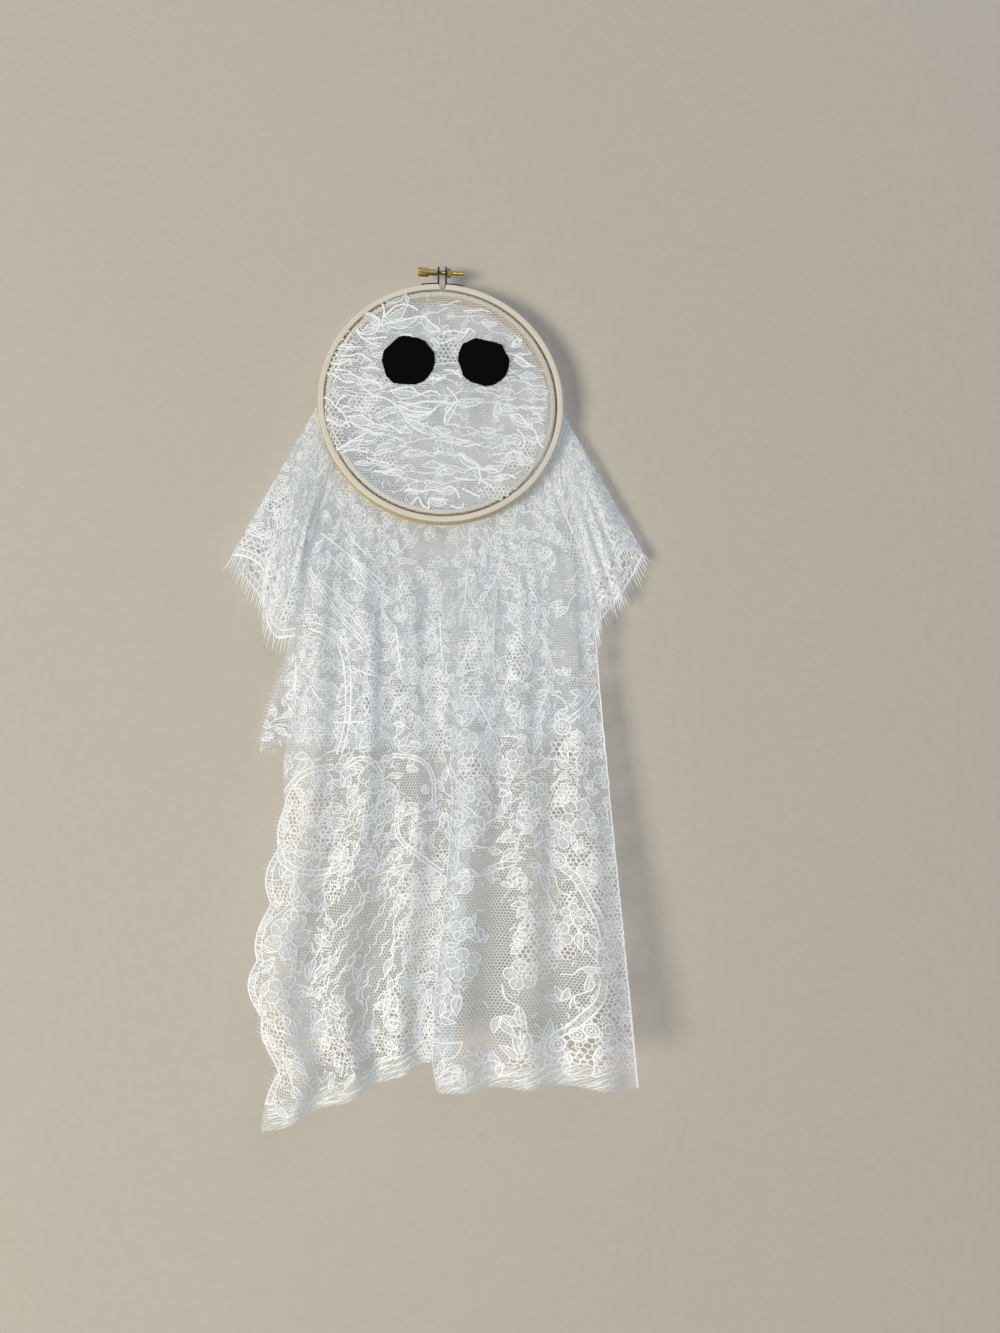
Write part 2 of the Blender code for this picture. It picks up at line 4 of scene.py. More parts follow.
import bpy
import numpy as np
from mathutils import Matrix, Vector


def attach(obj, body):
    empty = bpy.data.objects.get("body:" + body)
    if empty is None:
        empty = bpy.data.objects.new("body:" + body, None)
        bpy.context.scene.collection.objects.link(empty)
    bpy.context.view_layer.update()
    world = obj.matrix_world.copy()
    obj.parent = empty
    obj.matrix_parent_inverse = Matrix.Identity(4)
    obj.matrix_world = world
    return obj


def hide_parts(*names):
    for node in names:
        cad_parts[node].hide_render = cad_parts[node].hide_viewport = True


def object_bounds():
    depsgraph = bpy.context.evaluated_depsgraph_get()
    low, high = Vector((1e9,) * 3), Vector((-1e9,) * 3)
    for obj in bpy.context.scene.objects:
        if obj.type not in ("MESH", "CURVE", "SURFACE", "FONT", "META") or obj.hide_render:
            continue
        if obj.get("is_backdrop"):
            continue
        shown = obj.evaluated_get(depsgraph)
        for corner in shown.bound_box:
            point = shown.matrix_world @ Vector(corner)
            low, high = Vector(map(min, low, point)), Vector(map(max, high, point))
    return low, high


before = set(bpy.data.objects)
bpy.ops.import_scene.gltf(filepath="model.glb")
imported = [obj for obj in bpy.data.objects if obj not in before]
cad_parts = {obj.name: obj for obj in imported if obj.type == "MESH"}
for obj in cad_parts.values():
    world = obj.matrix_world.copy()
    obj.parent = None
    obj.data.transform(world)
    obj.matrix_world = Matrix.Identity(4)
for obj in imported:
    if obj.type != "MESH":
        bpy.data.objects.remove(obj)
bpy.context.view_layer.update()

# Inner ring of the hoop: one strip of bamboo, bent and glued into a closed ring, sanded pale.
# It carries the stretched lace and shows only as a wall behind the net.
# Sizes are in millimetres round the hoop's centre, and make_mesh turns them to metres.
MM = 0.001
HOOP_CENTRE = np.array([0.0, 0.0, -89.05])
INNER_RING = (71.8, 75.0)
HOOP_DEPTH = 10.0
EDGE_ROUND = 0.7
RING_STEPS = 240


def linear(colour):
    """An sRGB hex colour as linear RGBA."""
    values = [int(colour[i:i + 2], 16) / 255 for i in (1, 3, 5)]
    return (*[v / 12.92 if v <= 0.04045 else ((v + 0.055) / 1.055) ** 2.4 for v in values], 1.0)


def add_node(tree, kind, settings=None, inputs=None):
    """A node with its settings, and its inputs as values or as links from other nodes' sockets."""
    node = tree.nodes.new(kind)
    for name, value in (settings or {}).items():
        setattr(node, name, value)
    for key, value in (inputs or {}).items():
        if isinstance(value, bpy.types.NodeSocket):
            tree.links.new(value, node.inputs[key])
        else:
            node.inputs[key].default_value = value
    return node


def start_material(name, roughness):
    material = bpy.data.materials.new(name)
    material.use_nodes = True
    shader = material.node_tree.nodes["Principled BSDF"]
    shader.inputs["Roughness"].default_value = roughness
    return material, material.node_tree, shader


def make_mesh(name, points, faces, material, uv=None, attributes=None, edges=()):
    """An object from points in millimetres round the hoop's centre."""
    mesh = bpy.data.meshes.new(name)
    placed = (np.asarray(points) + HOOP_CENTRE) * MM
    mesh.from_pydata(placed.tolist(), list(edges), [list(f) for f in faces])
    corner = np.zeros(len(mesh.loops), np.int64)
    mesh.loops.foreach_get("vertex_index", corner)
    if uv is not None:
        layer = mesh.uv_layers.new(name="flat")
        layer.data.foreach_set("uv", np.asarray(uv, float)[corner].ravel())
    for key, values in (attributes or {}).items():
        kind = "FLOAT_VECTOR" if np.ndim(values) == 2 else "FLOAT"
        attribute = mesh.attributes.new(key, kind, "POINT")
        attribute.data.foreach_set("vector" if kind == "FLOAT_VECTOR" else "value",
                                   np.asarray(values, float).ravel())
    mesh.materials.append(material)
    mesh.shade_smooth()
    piece = bpy.data.objects.new(name, mesh)
    bpy.context.scene.collection.objects.link(piece)
    return piece


def make_bamboo():
    """Bamboo strip, planed and sanded: pale and matt, with long fibres round the ring and dark flecks.
    The fibres are about 30 mm long and 0.8 mm wide, the flecks 4.5 mm by 0.2 mm. The strip's inner and
    outer walls are tinted warmer and darker: painted warm lamplight falling on them."""
    material, tree, shader = start_material("planed_bamboo", 0.5)
    flat = add_node(tree, "ShaderNodeUVMap", {"uv_map": "flat"}).outputs["UV"]
    along = add_node(tree, "ShaderNodeMapping", {}, {"Vector": flat, "Scale": (0.03, 1.3, 1.0)})
    fibre = add_node(tree, "ShaderNodeTexNoise", {}, {"Vector": along.outputs[0], "Scale": 1.0,
                                                      "Detail": 6.0, "Roughness": 0.65})
    pale = add_node(tree, "ShaderNodeValToRGB", {}, {"Fac": fibre.outputs["Fac"]})
    pale.color_ramp.elements[0].position = 0.32
    pale.color_ramp.elements[0].color = linear("#c5bfae")
    pale.color_ramp.elements[1].position = 0.66
    pale.color_ramp.elements[1].color = linear("#dcd9ce")
    # Painted warm light: the wall mark picks the strip's inner and outer walls, and the multiply tints them
    # warm and darker.
    wall = add_node(tree, "ShaderNodeAttribute", {"attribute_name": "wall"}).outputs["Fac"]
    painted_warm_light = add_node(tree, "ShaderNodeMix", {"data_type": "RGBA", "blend_type": "MULTIPLY"},
                    {0: wall, 6: pale.outputs["Color"], 7: linear("#f0dba8")})
    short = add_node(tree, "ShaderNodeMapping", {}, {"Vector": flat, "Scale": (0.22, 5.0, 1.0)})
    vessel = add_node(tree, "ShaderNodeTexNoise", {}, {"Vector": short.outputs[0], "Scale": 1.0,
                                                       "Detail": 2.0})
    fleck = add_node(tree, "ShaderNodeMapRange", {}, {"Value": vessel.outputs["Fac"], "From Min": 0.62,
                                                      "From Max": 0.72})
    colour = add_node(tree, "ShaderNodeMix", {"data_type": "RGBA"},
                      {0: fleck.outputs[0], 6: painted_warm_light.outputs[2], 7: linear("#ab9a72")})
    tree.links.new(colour.outputs[2], shader.inputs["Base Color"])
    relief = add_node(tree, "ShaderNodeBump", {}, {"Strength": 0.25, "Distance": 0.0002,
                                                   "Height": fibre.outputs["Fac"]})
    tree.links.new(relief.outputs[0], shader.inputs["Normal"])
    return material


def ring_profile(inner_r, outer_r):
    """The strip's section with rounded corners, as (radius, y)."""
    half = HOOP_DEPTH / 2
    points = []
    for (r, y), first in (
            ((outer_r, -half), -90), ((outer_r, half), 0), ((inner_r, half), 90), ((inner_r, -half), 180)):
        middle_r = r - EDGE_ROUND * (1 if r == outer_r else -1)
        middle_y = y - EDGE_ROUND * (1 if y > 0 else -1)
        for turn in np.radians(first + np.array([0, 30, 60, 90])):
            points.append((middle_r + EDGE_ROUND * math.cos(turn), middle_y + EDGE_ROUND * math.sin(turn)))
    return np.array(points)


def make_ring(name, radii, material, split=None):
    """A revolved strip, closed, or open at the top where split gives the gap's half width at a radius."""
    profile = ring_profile(*radii)
    count = len(profile)
    steps = RING_STEPS + (1 if split else 0)
    points, uv, wall = [], [], []
    around = np.cumsum(np.hypot(*(profile - np.roll(profile, 1, axis=0)).T))
    for i in range(steps):
        share = i / RING_STEPS
        for (r, y), across in zip(profile, around):
            gap = math.asin(split(r) / r) if split else 0.0
            angle = math.pi / 2 + gap + (2 * math.pi - 2 * gap) * share
            points.append((r * math.cos(angle), y, r * math.sin(angle)))
            uv.append((r * angle, across))
            # Marks the strip's inner and outer walls, which the bamboo tints with painted warm light.
            wall.append(1.0 if abs(y) < HOOP_DEPTH / 2 - EDGE_ROUND / 2 else 0.0)
    faces = []
    for i in range(steps - 1 if split else steps):
        for k in range(count):
            a, b = i * count, (i + 1) % steps * count
            faces.append((a + k, a + (k + 1) % count, b + (k + 1) % count, b + k))
    if split:
        faces.append(tuple(range(count - 1, -1, -1)))
        faces.append(tuple(range((steps - 1) * count, steps * count)))
    ring = make_mesh(name, points, faces, material, uv, {"wall": wall})
    ring.data.set_sharp_from_angle(angle=math.radians(50))
    return ring


bamboo = make_bamboo()
inner_ring = make_ring("inner_ring_wood", INNER_RING, bamboo)
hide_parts("inner_ring")
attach(inner_ring, "hoop")

# Lace cloth: one wide strip of white corded polyester lace, machine made, clamped between the rings
# with its face side out. It hangs as a long front skirt with one big fold, two sleeves and a back tier.
RING_R = 80.4
CLOTH_R = 75.7
FACE_R = CLOTH_R - 0.6
CLOTH_OFFSET = 5.7
CLOTH_GAP = 0.4
SLEEVE_DROP = 156.0
TIER_DROP = 229.0
TIER_ARCH = 6.0
TIER_ARCHES = 6
SPREAD = SLEEVE_DROP - RING_R
FOLD_TOP_DROP = 90.0
FOLD_WHOLE_DROP = 250.0
FOLD_OVERLAP = 14.0
FOLD_DEPTH = 5.5
FOLD_SPAN = (0.44, 0.62)
FRONT_STANDOFF = 7.0
HEM_STANDOFF = 24.0
HEM_SWING = 9.0
BACK_STANDOFF = 6.5
BACK_CORNER_X = -115.0
SLEEVE_LEAN = 1.6
# Waves, gathers and creases are their depth in millimetres and their number across the cloth.
FRONT_WAVE = (3.6, 7)
GATHER = (0.6, 13)
CREASE = (0.3, 23)
BACK_WAVE = (1.5, 6)
BACK_GATHER = (0.5, 17)
SLEEVE_WAVE = (0.9, 6)
# Edges and the fold are (drop, x), the hem is (share across, drop), the sleeves' ends are (x, drop, y),
# and the fold's plan is its x and y in shares of its overlap and depth.
LEFT_EDGE = [(20, -78), (68, -83), (159, -90), (240, -97), (268, -95), (294, -103), (330, -105),
             (352, -112), (372, -113), (384, -107), (398, -106), (412, -92), (434, -103), (452, -104)]
RIGHT_EDGE = [(20, 80), (77, 90), (157, 101), (259, 108), (345, 114), (430, 120)]
FOLD_LINE = [(80, 0), (140, 0), (260, 8), (310, 4), (350, 0), (375, -3), (410, -4), (430, 0)]
HEM = [(0.0, 452), (0.13, 440), (0.28, 426), (0.40, 415), (0.49, 410), (0.60, 428), (0.78, 427), (1.0, 430)]
HEM_BAND = 13.0
FRONT_ARC = (200.0, 340.0)
BACK_ARC = (380.0, 520.0)
FOLD_PLAN = [(0.0, 0.75), (0.75, 1.0), (1.0, 0.45), (0.6, -0.15), (0.15, -0.65), (0.0, -1.0), (0.35, -1.0)]
LEFT_SLEEVE = [(-97, 152, 11.0), (-119, 126, 12.0), (-134, 104, 5.0), (-114, 112, -2.0),
               (-111, 138, -4.0), (-105, 156, -5.0), (-92, 158, -6.5)]
RIGHT_SLEEVE = [(99, 150, 11.0), (120, 126, 13.0), (135, 96, 6.0), (117, 100, -3.0),
                (116, 128, -4.0), (105, 130, -5.0), (101, 155, -6.5)]
SCALLOP_TOP = 255.0
SCALLOP_LENGTH = 33.0
SCALLOP_DEPTH = 4.5
FRONT_WIDTH = 250.0
BACK_WIDTH = 230.0
SLEEVE_SIZE = (112.0, 130.0)


def ease(start, end, value):
    t = np.clip((value - start) / (end - start), 0.0, 1.0)
    return t * t * (3 - 2 * t)


def blend(first, second, share):
    return first + (second - first) * share


def read_line(line, at):
    places, values = zip(*line)
    return np.interp(at, places, values)


def along(points, share):
    """Points at shares of the way along a smooth curve through evenly spaced points."""
    points = np.asarray(points, float)
    place = np.clip(share, 0.0, 1.0) * (len(points) - 1)
    i = np.minimum(place.astype(int), len(points) - 2)
    t = (place - i)[..., None]
    before, a, b, after = (points[np.clip(i + k, 0, len(points) - 1)] for k in (-1, 0, 1, 2))
    return a + ((b - before) + (2 * before - 5 * a + 4 * b - after) * t
                + (3 * a - before - 3 * b + after) * t * t) * t / 2


def front_x(s, drop):
    left = sum(read_line(LEFT_EDGE, drop + shift) for shift in (-9, -3, 3, 9)) / 4
    lobes = np.abs(np.sin(math.pi * (drop - SCALLOP_TOP) / SCALLOP_LENGTH))
    left = left + SCALLOP_DEPTH * (0.5 - lobes) * ease(SCALLOP_TOP, SCALLOP_TOP + 20, drop) * (drop < 420)
    right = read_line(RIGHT_EDGE, drop)
    fold = read_line(FOLD_LINE, drop)
    start, end = FOLD_SPAN
    within = fold + FOLD_OVERLAP * along(FOLD_PLAN, (s - start) / (end - start))[..., 0]
    folded = np.where(s < start, blend(left, fold + FOLD_OVERLAP * FOLD_PLAN[0][0], s / start), within)
    folded = np.where(s > end, blend(fold + FOLD_OVERLAP * FOLD_PLAN[-1][0], right,
                                     (s - end) / (1 - end)), folded)
    return blend(blend(left, right, s), folded, ease(FOLD_TOP_DROP, FOLD_WHOLE_DROP, drop))


def front_y(s, drop):
    low = ease(SLEEVE_DROP, TIER_DROP * 2, drop)
    plane = -FRONT_STANDOFF * ease(RING_R, SLEEVE_DROP, drop)
    plane = plane - (HEM_STANDOFF - FRONT_STANDOFF + HEM_SWING * s) * low
    start, end = FOLD_SPAN
    step = np.where(s < start, FOLD_PLAN[0][1] * ease(0.2, start, s),
                    along(FOLD_PLAN, (s - start) / (end - start))[..., 1])
    step = np.where(s > end, FOLD_PLAN[-1][1] * ease(0.85, end, s), step)
    calm = ease(0.0, 0.14, np.abs(s - (start + end) / 2) - 0.05)
    wave = FRONT_WAVE[0] * (0.5 + low) * np.cos(2 * math.pi * FRONT_WAVE[1] * s) * calm
    gathers = GATHER[0] * np.sin(2 * math.pi * (GATHER[1] * s + 0.35 * np.sin(drop / 41)))
    gathers = gathers + CREASE[0] * np.sin(2 * math.pi * (CREASE[1] * s + drop / 170) + 1.3)
    return (plane + FOLD_DEPTH * step * ease(FOLD_TOP_DROP, FOLD_WHOLE_DROP, drop) + wave
            + gathers * calm * (1 - 0.6 * ease(170, 330, drop)))


def leaving(angle):
    """Where the cloth comes out from between the rings, behind the hoop."""
    return CLOTH_R * np.cos(angle), CLOTH_R * np.sin(angle)


def front(u, v):
    """The front skirt: u runs from its left to its right edge, v is the drop below the centre."""
    s = np.clip(u / FRONT_WIDTH, 0.0, 1.0)
    start_x, start_z = leaving(np.radians(blend(*FRONT_ARC, s)))
    drop = np.maximum(v, -start_z)
    x = blend(start_x, front_x(s, drop), ease(0.0, SPREAD, start_z + drop))
    past_ring = np.hypot(x, drop) - RING_R - CLOTH_GAP
    y = blend(CLOTH_OFFSET, front_y(s, drop), ease(0.0, SPREAD, past_ring))
    return np.stack([x, y, -drop], -1)


def back(u, v):
    """The back tier: u runs from its left to its right edge, v is the drop below the centre."""
    s = 1 - np.clip(u / BACK_WIDTH, 0.0, 1.0)
    start_x, start_z = leaving(np.radians(blend(*BACK_ARC, s)))
    drop = np.maximum(v, -start_z)
    middle = blend(RIGHT_SLEEVE[0][1], LEFT_SLEEVE[0][1], s)
    left = blend(LEFT_SLEEVE[0][0], BACK_CORNER_X, ease(middle, TIER_DROP, drop))
    fall = start_z + drop
    x = blend(start_x, blend(RIGHT_SLEEVE[0][0], left, s), ease(0.0, SPREAD * 2, fall))
    wave = BACK_WAVE[0] * np.cos(2 * math.pi * BACK_WAVE[1] * s)
    wave = wave + BACK_GATHER[0] * np.sin(2 * math.pi * (BACK_GATHER[1] * s + 0.3 * np.sin(drop / 33)))
    y = blend(CLOTH_OFFSET, CLOTH_OFFSET + BACK_STANDOFF + wave, ease(0.0, SPREAD, fall))
    return np.stack([x, y, -drop], -1)


def sleeve(side, u, v):
    """A sleeve: u runs from the back tier to the front skirt, v from the ring to its lower edge."""
    s = np.clip(u / SLEEVE_SIZE[0], 0.0, 1.0)
    share = v / SLEEVE_SIZE[1]
    edge, first, last = LEFT_SLEEVE, BACK_ARC[1] - 360, FRONT_ARC[0]
    if side > 0:
        edge, first, last = RIGHT_SLEEVE, BACK_ARC[0], FRONT_ARC[1]
    start_x, start_z = leaving(np.radians(first + (last - first) * s))
    inner = np.clip(s, 0.1, 0.9)
    spot = along(edge, inner)
    x, z = blend(start_x, spot[..., 0], share), blend(start_z, -spot[..., 1], share)
    past_ring = np.hypot(x, z) - RING_R - CLOTH_GAP
    moved = np.where(spot[..., 2] > CLOTH_OFFSET, start_z - z, past_ring) * SLEEVE_LEAN
    ripple = SLEEVE_WAVE[0] * np.sin(2 * math.pi * SLEEVE_WAVE[1] * s) * ease(0.2, 0.7, share)
    y = blend(CLOTH_OFFSET, spot[..., 2] + ripple, ease(0.0, SPREAD, moved))
    made = np.stack([x, y, z], -1)
    end = 0.0 if side < 0 else 1.0
    skirt = front(np.full(s.shape, end * FRONT_WIDTH), blend(-start_z, SLEEVE_DROP, share))
    tier = back(np.full(s.shape, end * BACK_WIDTH), blend(-start_z, edge[0][1], share))
    made = blend(made, skirt, (np.clip((s - 0.9) / 0.1, 0, 1))[..., None])
    return blend(made, tier, (np.clip((0.1 - s) / 0.1, 0, 1))[..., None])


def left_sleeve(u, v):
    return sleeve(-1, u, v)


def right_sleeve(u, v):
    return sleeve(1, u, v)


def face(u, v):
    """The stretched face, u to the right and v down from the centre; it turns in round the ring."""
    r = np.hypot(u, v)
    inside = np.minimum(r, FACE_R) / np.maximum(r, 1e-6)
    past = np.clip(r - FACE_R, 0.0, None)
    out = np.where(past > 0, CLOTH_R / np.maximum(r, 1e-6), inside)
    return np.stack([u * out, -CLOTH_OFFSET + np.minimum(past, 2 * CLOTH_OFFSET), -v * out], -1)


def across(x, drop):
    """The flat place on the front skirt that shows at x and drop: left of the fold, or right of it."""
    s = np.linspace(0, 1, 1001)
    fold = read_line(FOLD_LINE, drop)
    s = s[s < FOLD_SPAN[0] + 0.02] if x < fold + 6 else s[s > FOLD_SPAN[1] - 0.04]
    places = front(s * FRONT_WIDTH, np.full(s.shape, float(drop)))[:, 0]
    return np.array([s[np.abs(places - x).argmin()] * FRONT_WIDTH, drop])


def turned(points, at, degrees):
    c, s = math.cos(math.radians(degrees)), math.sin(math.radians(degrees))
    return np.asarray(points, float) @ np.array([[c, s], [-s, c]]) + np.asarray(at, float)


def circle(radius, steps):
    a = np.linspace(0, 2 * math.pi, steps, endpoint=False)
    return radius * np.stack([np.cos(a), np.sin(a)], -1)


def new_design():
    """Lace drawn flat: cloth work, cords, patches without net, and the room each motif takes.
    A cord is its points, its width and whether it closes."""
    return {"petals": [], "cords": [], "holes": [], "taken": [], "room": np.zeros((0, 3))}


def add_cord(design, points, width, closed=False):
    design["cords"].append((points, width, closed))


def is_taken(design, spot, margin):
    if len(design["room"]) < len(design["taken"]):
        design["room"] = np.array(design["taken"])
    apart = design["room"][:, :2] - spot
    return bool(((apart ** 2).sum(1) < (design["room"][:, 2] + margin).clip(0) ** 2).any())


def fan(design, outline):
    """Cloth work that fills an outline."""
    middle = outline.mean(0)
    for point in outline[::3]:
        reach = float(np.hypot(*(point - middle))) / 2
        design["taken"].append((*(point + middle) / 2, reach * 0.7))
    n = len(outline)
    points = np.concatenate([outline, outline.mean(0)[None]])
    design["petals"].append((points, [(i, (i + 1) % n, n) for i in range(n)]))


def crumb(design, rng, at, size):
    """A short squiggle of cord, as the carving cords make between the motifs."""
    heading = rng.uniform(0, 2 * math.pi) + np.cumsum(rng.normal(0, 0.8, 4))
    steps = np.stack([np.cos(heading), np.sin(heading)], -1) * size / 4
    line = np.concatenate([[at], at + np.cumsum(steps, axis=0)])
    add_cord(design, line, rng.uniform(0.35, 0.6))


def leaf(design, at, degrees, length, width, vein=True, cord=0.6):
    """A leaf of cloth work with a cord round it and a thin vein."""
    t = np.linspace(0, 1, 7)
    bow = 0.10 * length * np.sin(math.pi * t)
    half = width / 2 * np.sin(math.pi * t ** 0.8)
    upper = np.stack([length * t, bow + half], -1)
    lower = np.stack([length * t, bow - half], -1)[::-1][1:-1]
    outline = turned(np.concatenate([upper, lower]), at, degrees)
    fan(design, outline)
    add_cord(design, outline, cord, True)
    if vein:
        line = np.stack([length * t[:-1], bow[:-1]], -1)
        add_cord(design, turned(line[::2], at, degrees), 0.4)


def flower(design, at, degrees, radius, lobes=5):
    """An open flower: corded lobes round an eye with a star of threads."""
    steps = lobes * 6
    a = np.linspace(0, 2 * math.pi, steps, endpoint=False)
    reach = radius * (0.66 + 0.34 * np.abs(np.cos(a * lobes / 2)) ** 0.7)
    rim = np.stack([np.cos(a), np.sin(a)], -1)
    outer, inner = turned(rim * reach[:, None], at, degrees), turned(rim * radius * 0.27, at, degrees)
    quads = [(i, (i + 1) % steps, steps + (i + 1) % steps, steps + i) for i in range(steps)]
    design["taken"].append((*at, radius * 0.95))
    design["petals"].append((np.concatenate([outer, inner]), quads))
    add_cord(design, outer, 0.65, True)
    add_cord(design, inner[::2], 0.5, True)
    for k in range(lobes):
        notch = degrees + 180 / lobes * (2 * k + 1)
        add_cord(design, turned([(radius * 0.3, 0), (radius * 0.66, 0)], at, notch), 0.6)
        add_cord(design, turned([(0, 0), (radius * 0.27, 0)], at, notch), 0.35)
        spoke = turned([(radius * 0.36, 0), (radius * 0.8, 0)], at, degrees + 360 / lobes * k)
        add_cord(design, spoke, 0.3)


def rosette(design, at, radius):
    """A corded ring with a spoked eye, as at the ends of the scrolls."""
    outer, inner = turned(circle(radius, 16), at, 0), turned(circle(radius * 0.55, 16), at, 0)
    quads = [(i, (i + 1) % 16, 16 + (i + 1) % 16, 16 + i) for i in range(16)]
    design["taken"].append((*at, radius))
    design["petals"].append((np.concatenate([outer, inner]), quads))
    add_cord(design, outer, 0.8, True)
    add_cord(design, inner[::2], 0.6, True)
    for k in range(6):
        add_cord(design, turned([(0, 0), (radius * 0.55, 0)], at, 60 * k), 0.35)


def smooth(points, step):
    """Hand-set points as a smooth line with a point about every step."""
    points = np.asarray(points, float)
    reach = np.hypot(*np.diff(points, axis=0).T).sum()
    return along(points, np.linspace(0, 1, max(int(reach / step), 3)))


def sides(line, width):
    way = np.gradient(line, axis=0)
    normal = np.stack([-way[:, 1], way[:, 0]], -1) / np.maximum(np.hypot(*way.T), 1e-9)[:, None]
    return line + normal * width / 2, line - normal * width / 2


def scroll(design, points, width, hatch=3.4):
    """A band of cloth work between two cords, with short bars across it."""
    line = smooth(points, 1.6)
    left, right = sides(line, width)
    n = len(line)
    design["taken"] += [(*point, width * 0.6) for point in line[::2]]
    design["petals"].append((np.concatenate([left, right]),
                             [(i, i + 1, n + i + 1, n + i) for i in range(n - 1)]))
    add_cord(design, left, 0.85)
    add_cord(design, right, 0.85)
    for k in range(0, n, max(int(hatch / 1.6), 1)):
        add_cord(design, np.array([left[k], right[k]]), 0.35)


def stem(design, points, width=0.7):
    add_cord(design, smooth(points, 2.2), width)


def sprig(design, rng, at, degrees, length, leaf_length, width=0.7):
    """A curved stem with leaves on both sides and one at its tip."""
    bend = rng.uniform(-0.3, 0.3)
    t = np.linspace(0, 1, 7)
    line = np.stack([length * t, length * bend * t * t], -1)
    placed = turned(line, at, degrees)
    add_cord(design, placed, width)
    for k in range(1, 6):
        side = 1 if k % 2 else -1
        size = leaf_length * (1.1 - 0.1 * k) * rng.uniform(0.85, 1.15)
        lean = degrees + math.degrees(math.atan(2 * bend * t[k])) + side * rng.uniform(35, 60)
        leaf(design, placed[k], lean, size, size * rng.uniform(0.36, 0.48), size > 5)
    leaf(design, placed[-1], degrees + math.degrees(math.atan(2 * bend)), leaf_length, leaf_length * 0.42)


HONEYCOMB_ROW = 0.866


def openwork(design, rng, centre, radii, pitch, width=0.5):
    """A patch of large honeycomb mesh; the fine net is left out under it."""
    design["holes"].append((*centre, *radii))
    edge = pitch / math.sqrt(3)
    n_i, n_j = int(2 * radii[0] / pitch) + 4, int(2 * radii[1] / (pitch * HONEYCOMB_ROW)) + 4
    i, j = np.meshgrid(np.arange(n_i), np.arange(n_j), indexing="ij")
    x = (i - n_i / 2 + (j % 2) * 0.5) * pitch + centre[0]
    y = (j - n_j / 2) * pitch * HONEYCOMB_ROW + centre[1]
    a = np.stack([x, y], -1) + rng.normal(0, pitch * 0.07, (n_i, n_j, 2))
    b = np.stack([x, y + edge], -1) + rng.normal(0, pitch * 0.07, (n_i, n_j, 2))
    for i in range(1, n_i - 1):
        for j in range(1, n_j):
            shift = j % 2
            for other in (b[i, j], b[i - 1 + shift, j - 1], b[i + shift, j - 1]):
                middle = (a[i, j] + other) / 2 - centre
                inside = (middle[0] / radii[0]) ** 2 + (middle[1] / radii[1]) ** 2 < 1
                if inside and not is_taken(design, middle + centre, -0.3):
                    add_cord(design, np.array([a[i, j], other]), width)


def fill(design, rng, low, high, spacing, tries, sizes):
    """Small motifs in the free places, apart by the spacing that holds there; 0 keeps a place bare."""
    kept = np.zeros((0, 2))
    for spot in rng.uniform(low, high, (tries, 2)):
        apart = spacing(*spot)
        if apart <= 0 or (len(kept) and np.hypot(*(kept - spot).T).min() < apart):
            continue
        size = rng.uniform(*sizes)
        if not is_taken(design, spot, size * 0.35):
            small_motif(design, rng, spot, size)
            kept = np.concatenate([kept, spot[None]])


def sprinkle(design, rng, low, high, tries, share):
    """Squiggles of cord between the motifs, as thick as share says for a place."""
    for spot in rng.uniform(low, high, (tries, 2)):
        if rng.random() < share(*spot) and not is_taken(design, spot, 0.0):
            crumb(design, rng, spot, rng.uniform(3.0, 6.5))


def small_motif(design, rng, at, size):
    """One of the small motifs that fill the ground: a twig, a flower, a bud, an eyelet or a mesh patch."""
    kind = rng.choice(5, p=[0.50, 0.06, 0.33, 0.02, 0.09])
    degrees = rng.uniform(0, 360)
    if kind == 0:
        for k in range(3):
            reach = size * rng.uniform(0.7, 1.1)
            leaf(design, at, degrees + (k - 1) * rng.uniform(40, 60), reach, reach * 0.42, False)
    elif kind == 1:
        flower(design, at, degrees, size * 0.75)
    elif kind == 2:
        leaf(design, at, degrees, size * 1.2, size * 0.45)
        swing = rng.uniform(-0.6, 0.6) * size
        stem(design, turned([(0, 0), (-size * 0.5, swing), (-size * 1.2, swing)], at, degrees))
    elif kind == 3:
        rosette(design, at, size * 0.38)
    else:
        openwork(design, rng, at, (size * 0.7, size * 0.6), 2.6, 0.45)


def inside_any(areas, u, v):
    return any(((u - a) / ru) ** 2 + ((v - b) / rv) ** 2 < 1 for a, b, ru, rv in areas)


def in_skirt(u, v):
    return front(np.array(float(u)), np.array(float(v)))[0]


# Ornament of the front skirt, laid out flat: scrolls, sprigs, flowers, rosettes and leaves corded on the
# net by the lace machine, with fields of open mesh between. Places are x and drop on the hung cloth.
rng = np.random.default_rng(11)
skirt = new_design()
for points, width in (
        ([(-66, 238), (-83, 242), (-97, 258), (-99, 285), (-92, 297), (-78, 302), (-62, 300), (-57, 291),
          (-63, 286)], 3.2),
        ([(76, 300), (84, 306), (91, 319), (97, 331), (100, 344)], 4.2),
        ([(99, 366), (96, 377), (88, 386), (79, 395), (67, 401), (66, 407), (72, 410), (78, 406)], 4.2),
        ([(-59, 238), (-50, 233), (-42, 235), (-37, 243)], 2.4),
        ([(-26, 262), (-25, 281), (-12, 293), (2, 303)], 2.4),
        ([(-30, 231), (-14, 233), (-5, 243), (-4, 262)], 2.2), ([(82, 209), (92, 200), (101, 188)], 3.0),
        ([(-84, 112), (-66, 140), (-48, 160)], 2.2), ([(-62, 92), (-48, 118), (-30, 134)], 2.2)):
    scroll(skirt, [across(x, drop) for x, drop in points], width)
for x, drop, degrees in (
        (-62, 100, 40), (-40, 122, 60), (-70, 150, 20), (-28, 150, 80), (-55, 176, 35), (-80, 190, 50),
        (-36, 188, 100), (-66, 210, 10), (16, 112, 80), (40, 104, 120), (58, 122, 70), (34, 146, 100),
        (62, 150, 60), (46, 178, 110), (70, 186, 95), (22, 196, 60), (-14, 206, 70), (-92, 168, 80),
        (4, 142, 95)):
    sprig(skirt, rng, across(x, drop), degrees + rng.uniform(-15, 15), rng.uniform(20, 30), 9.5, 1.05)
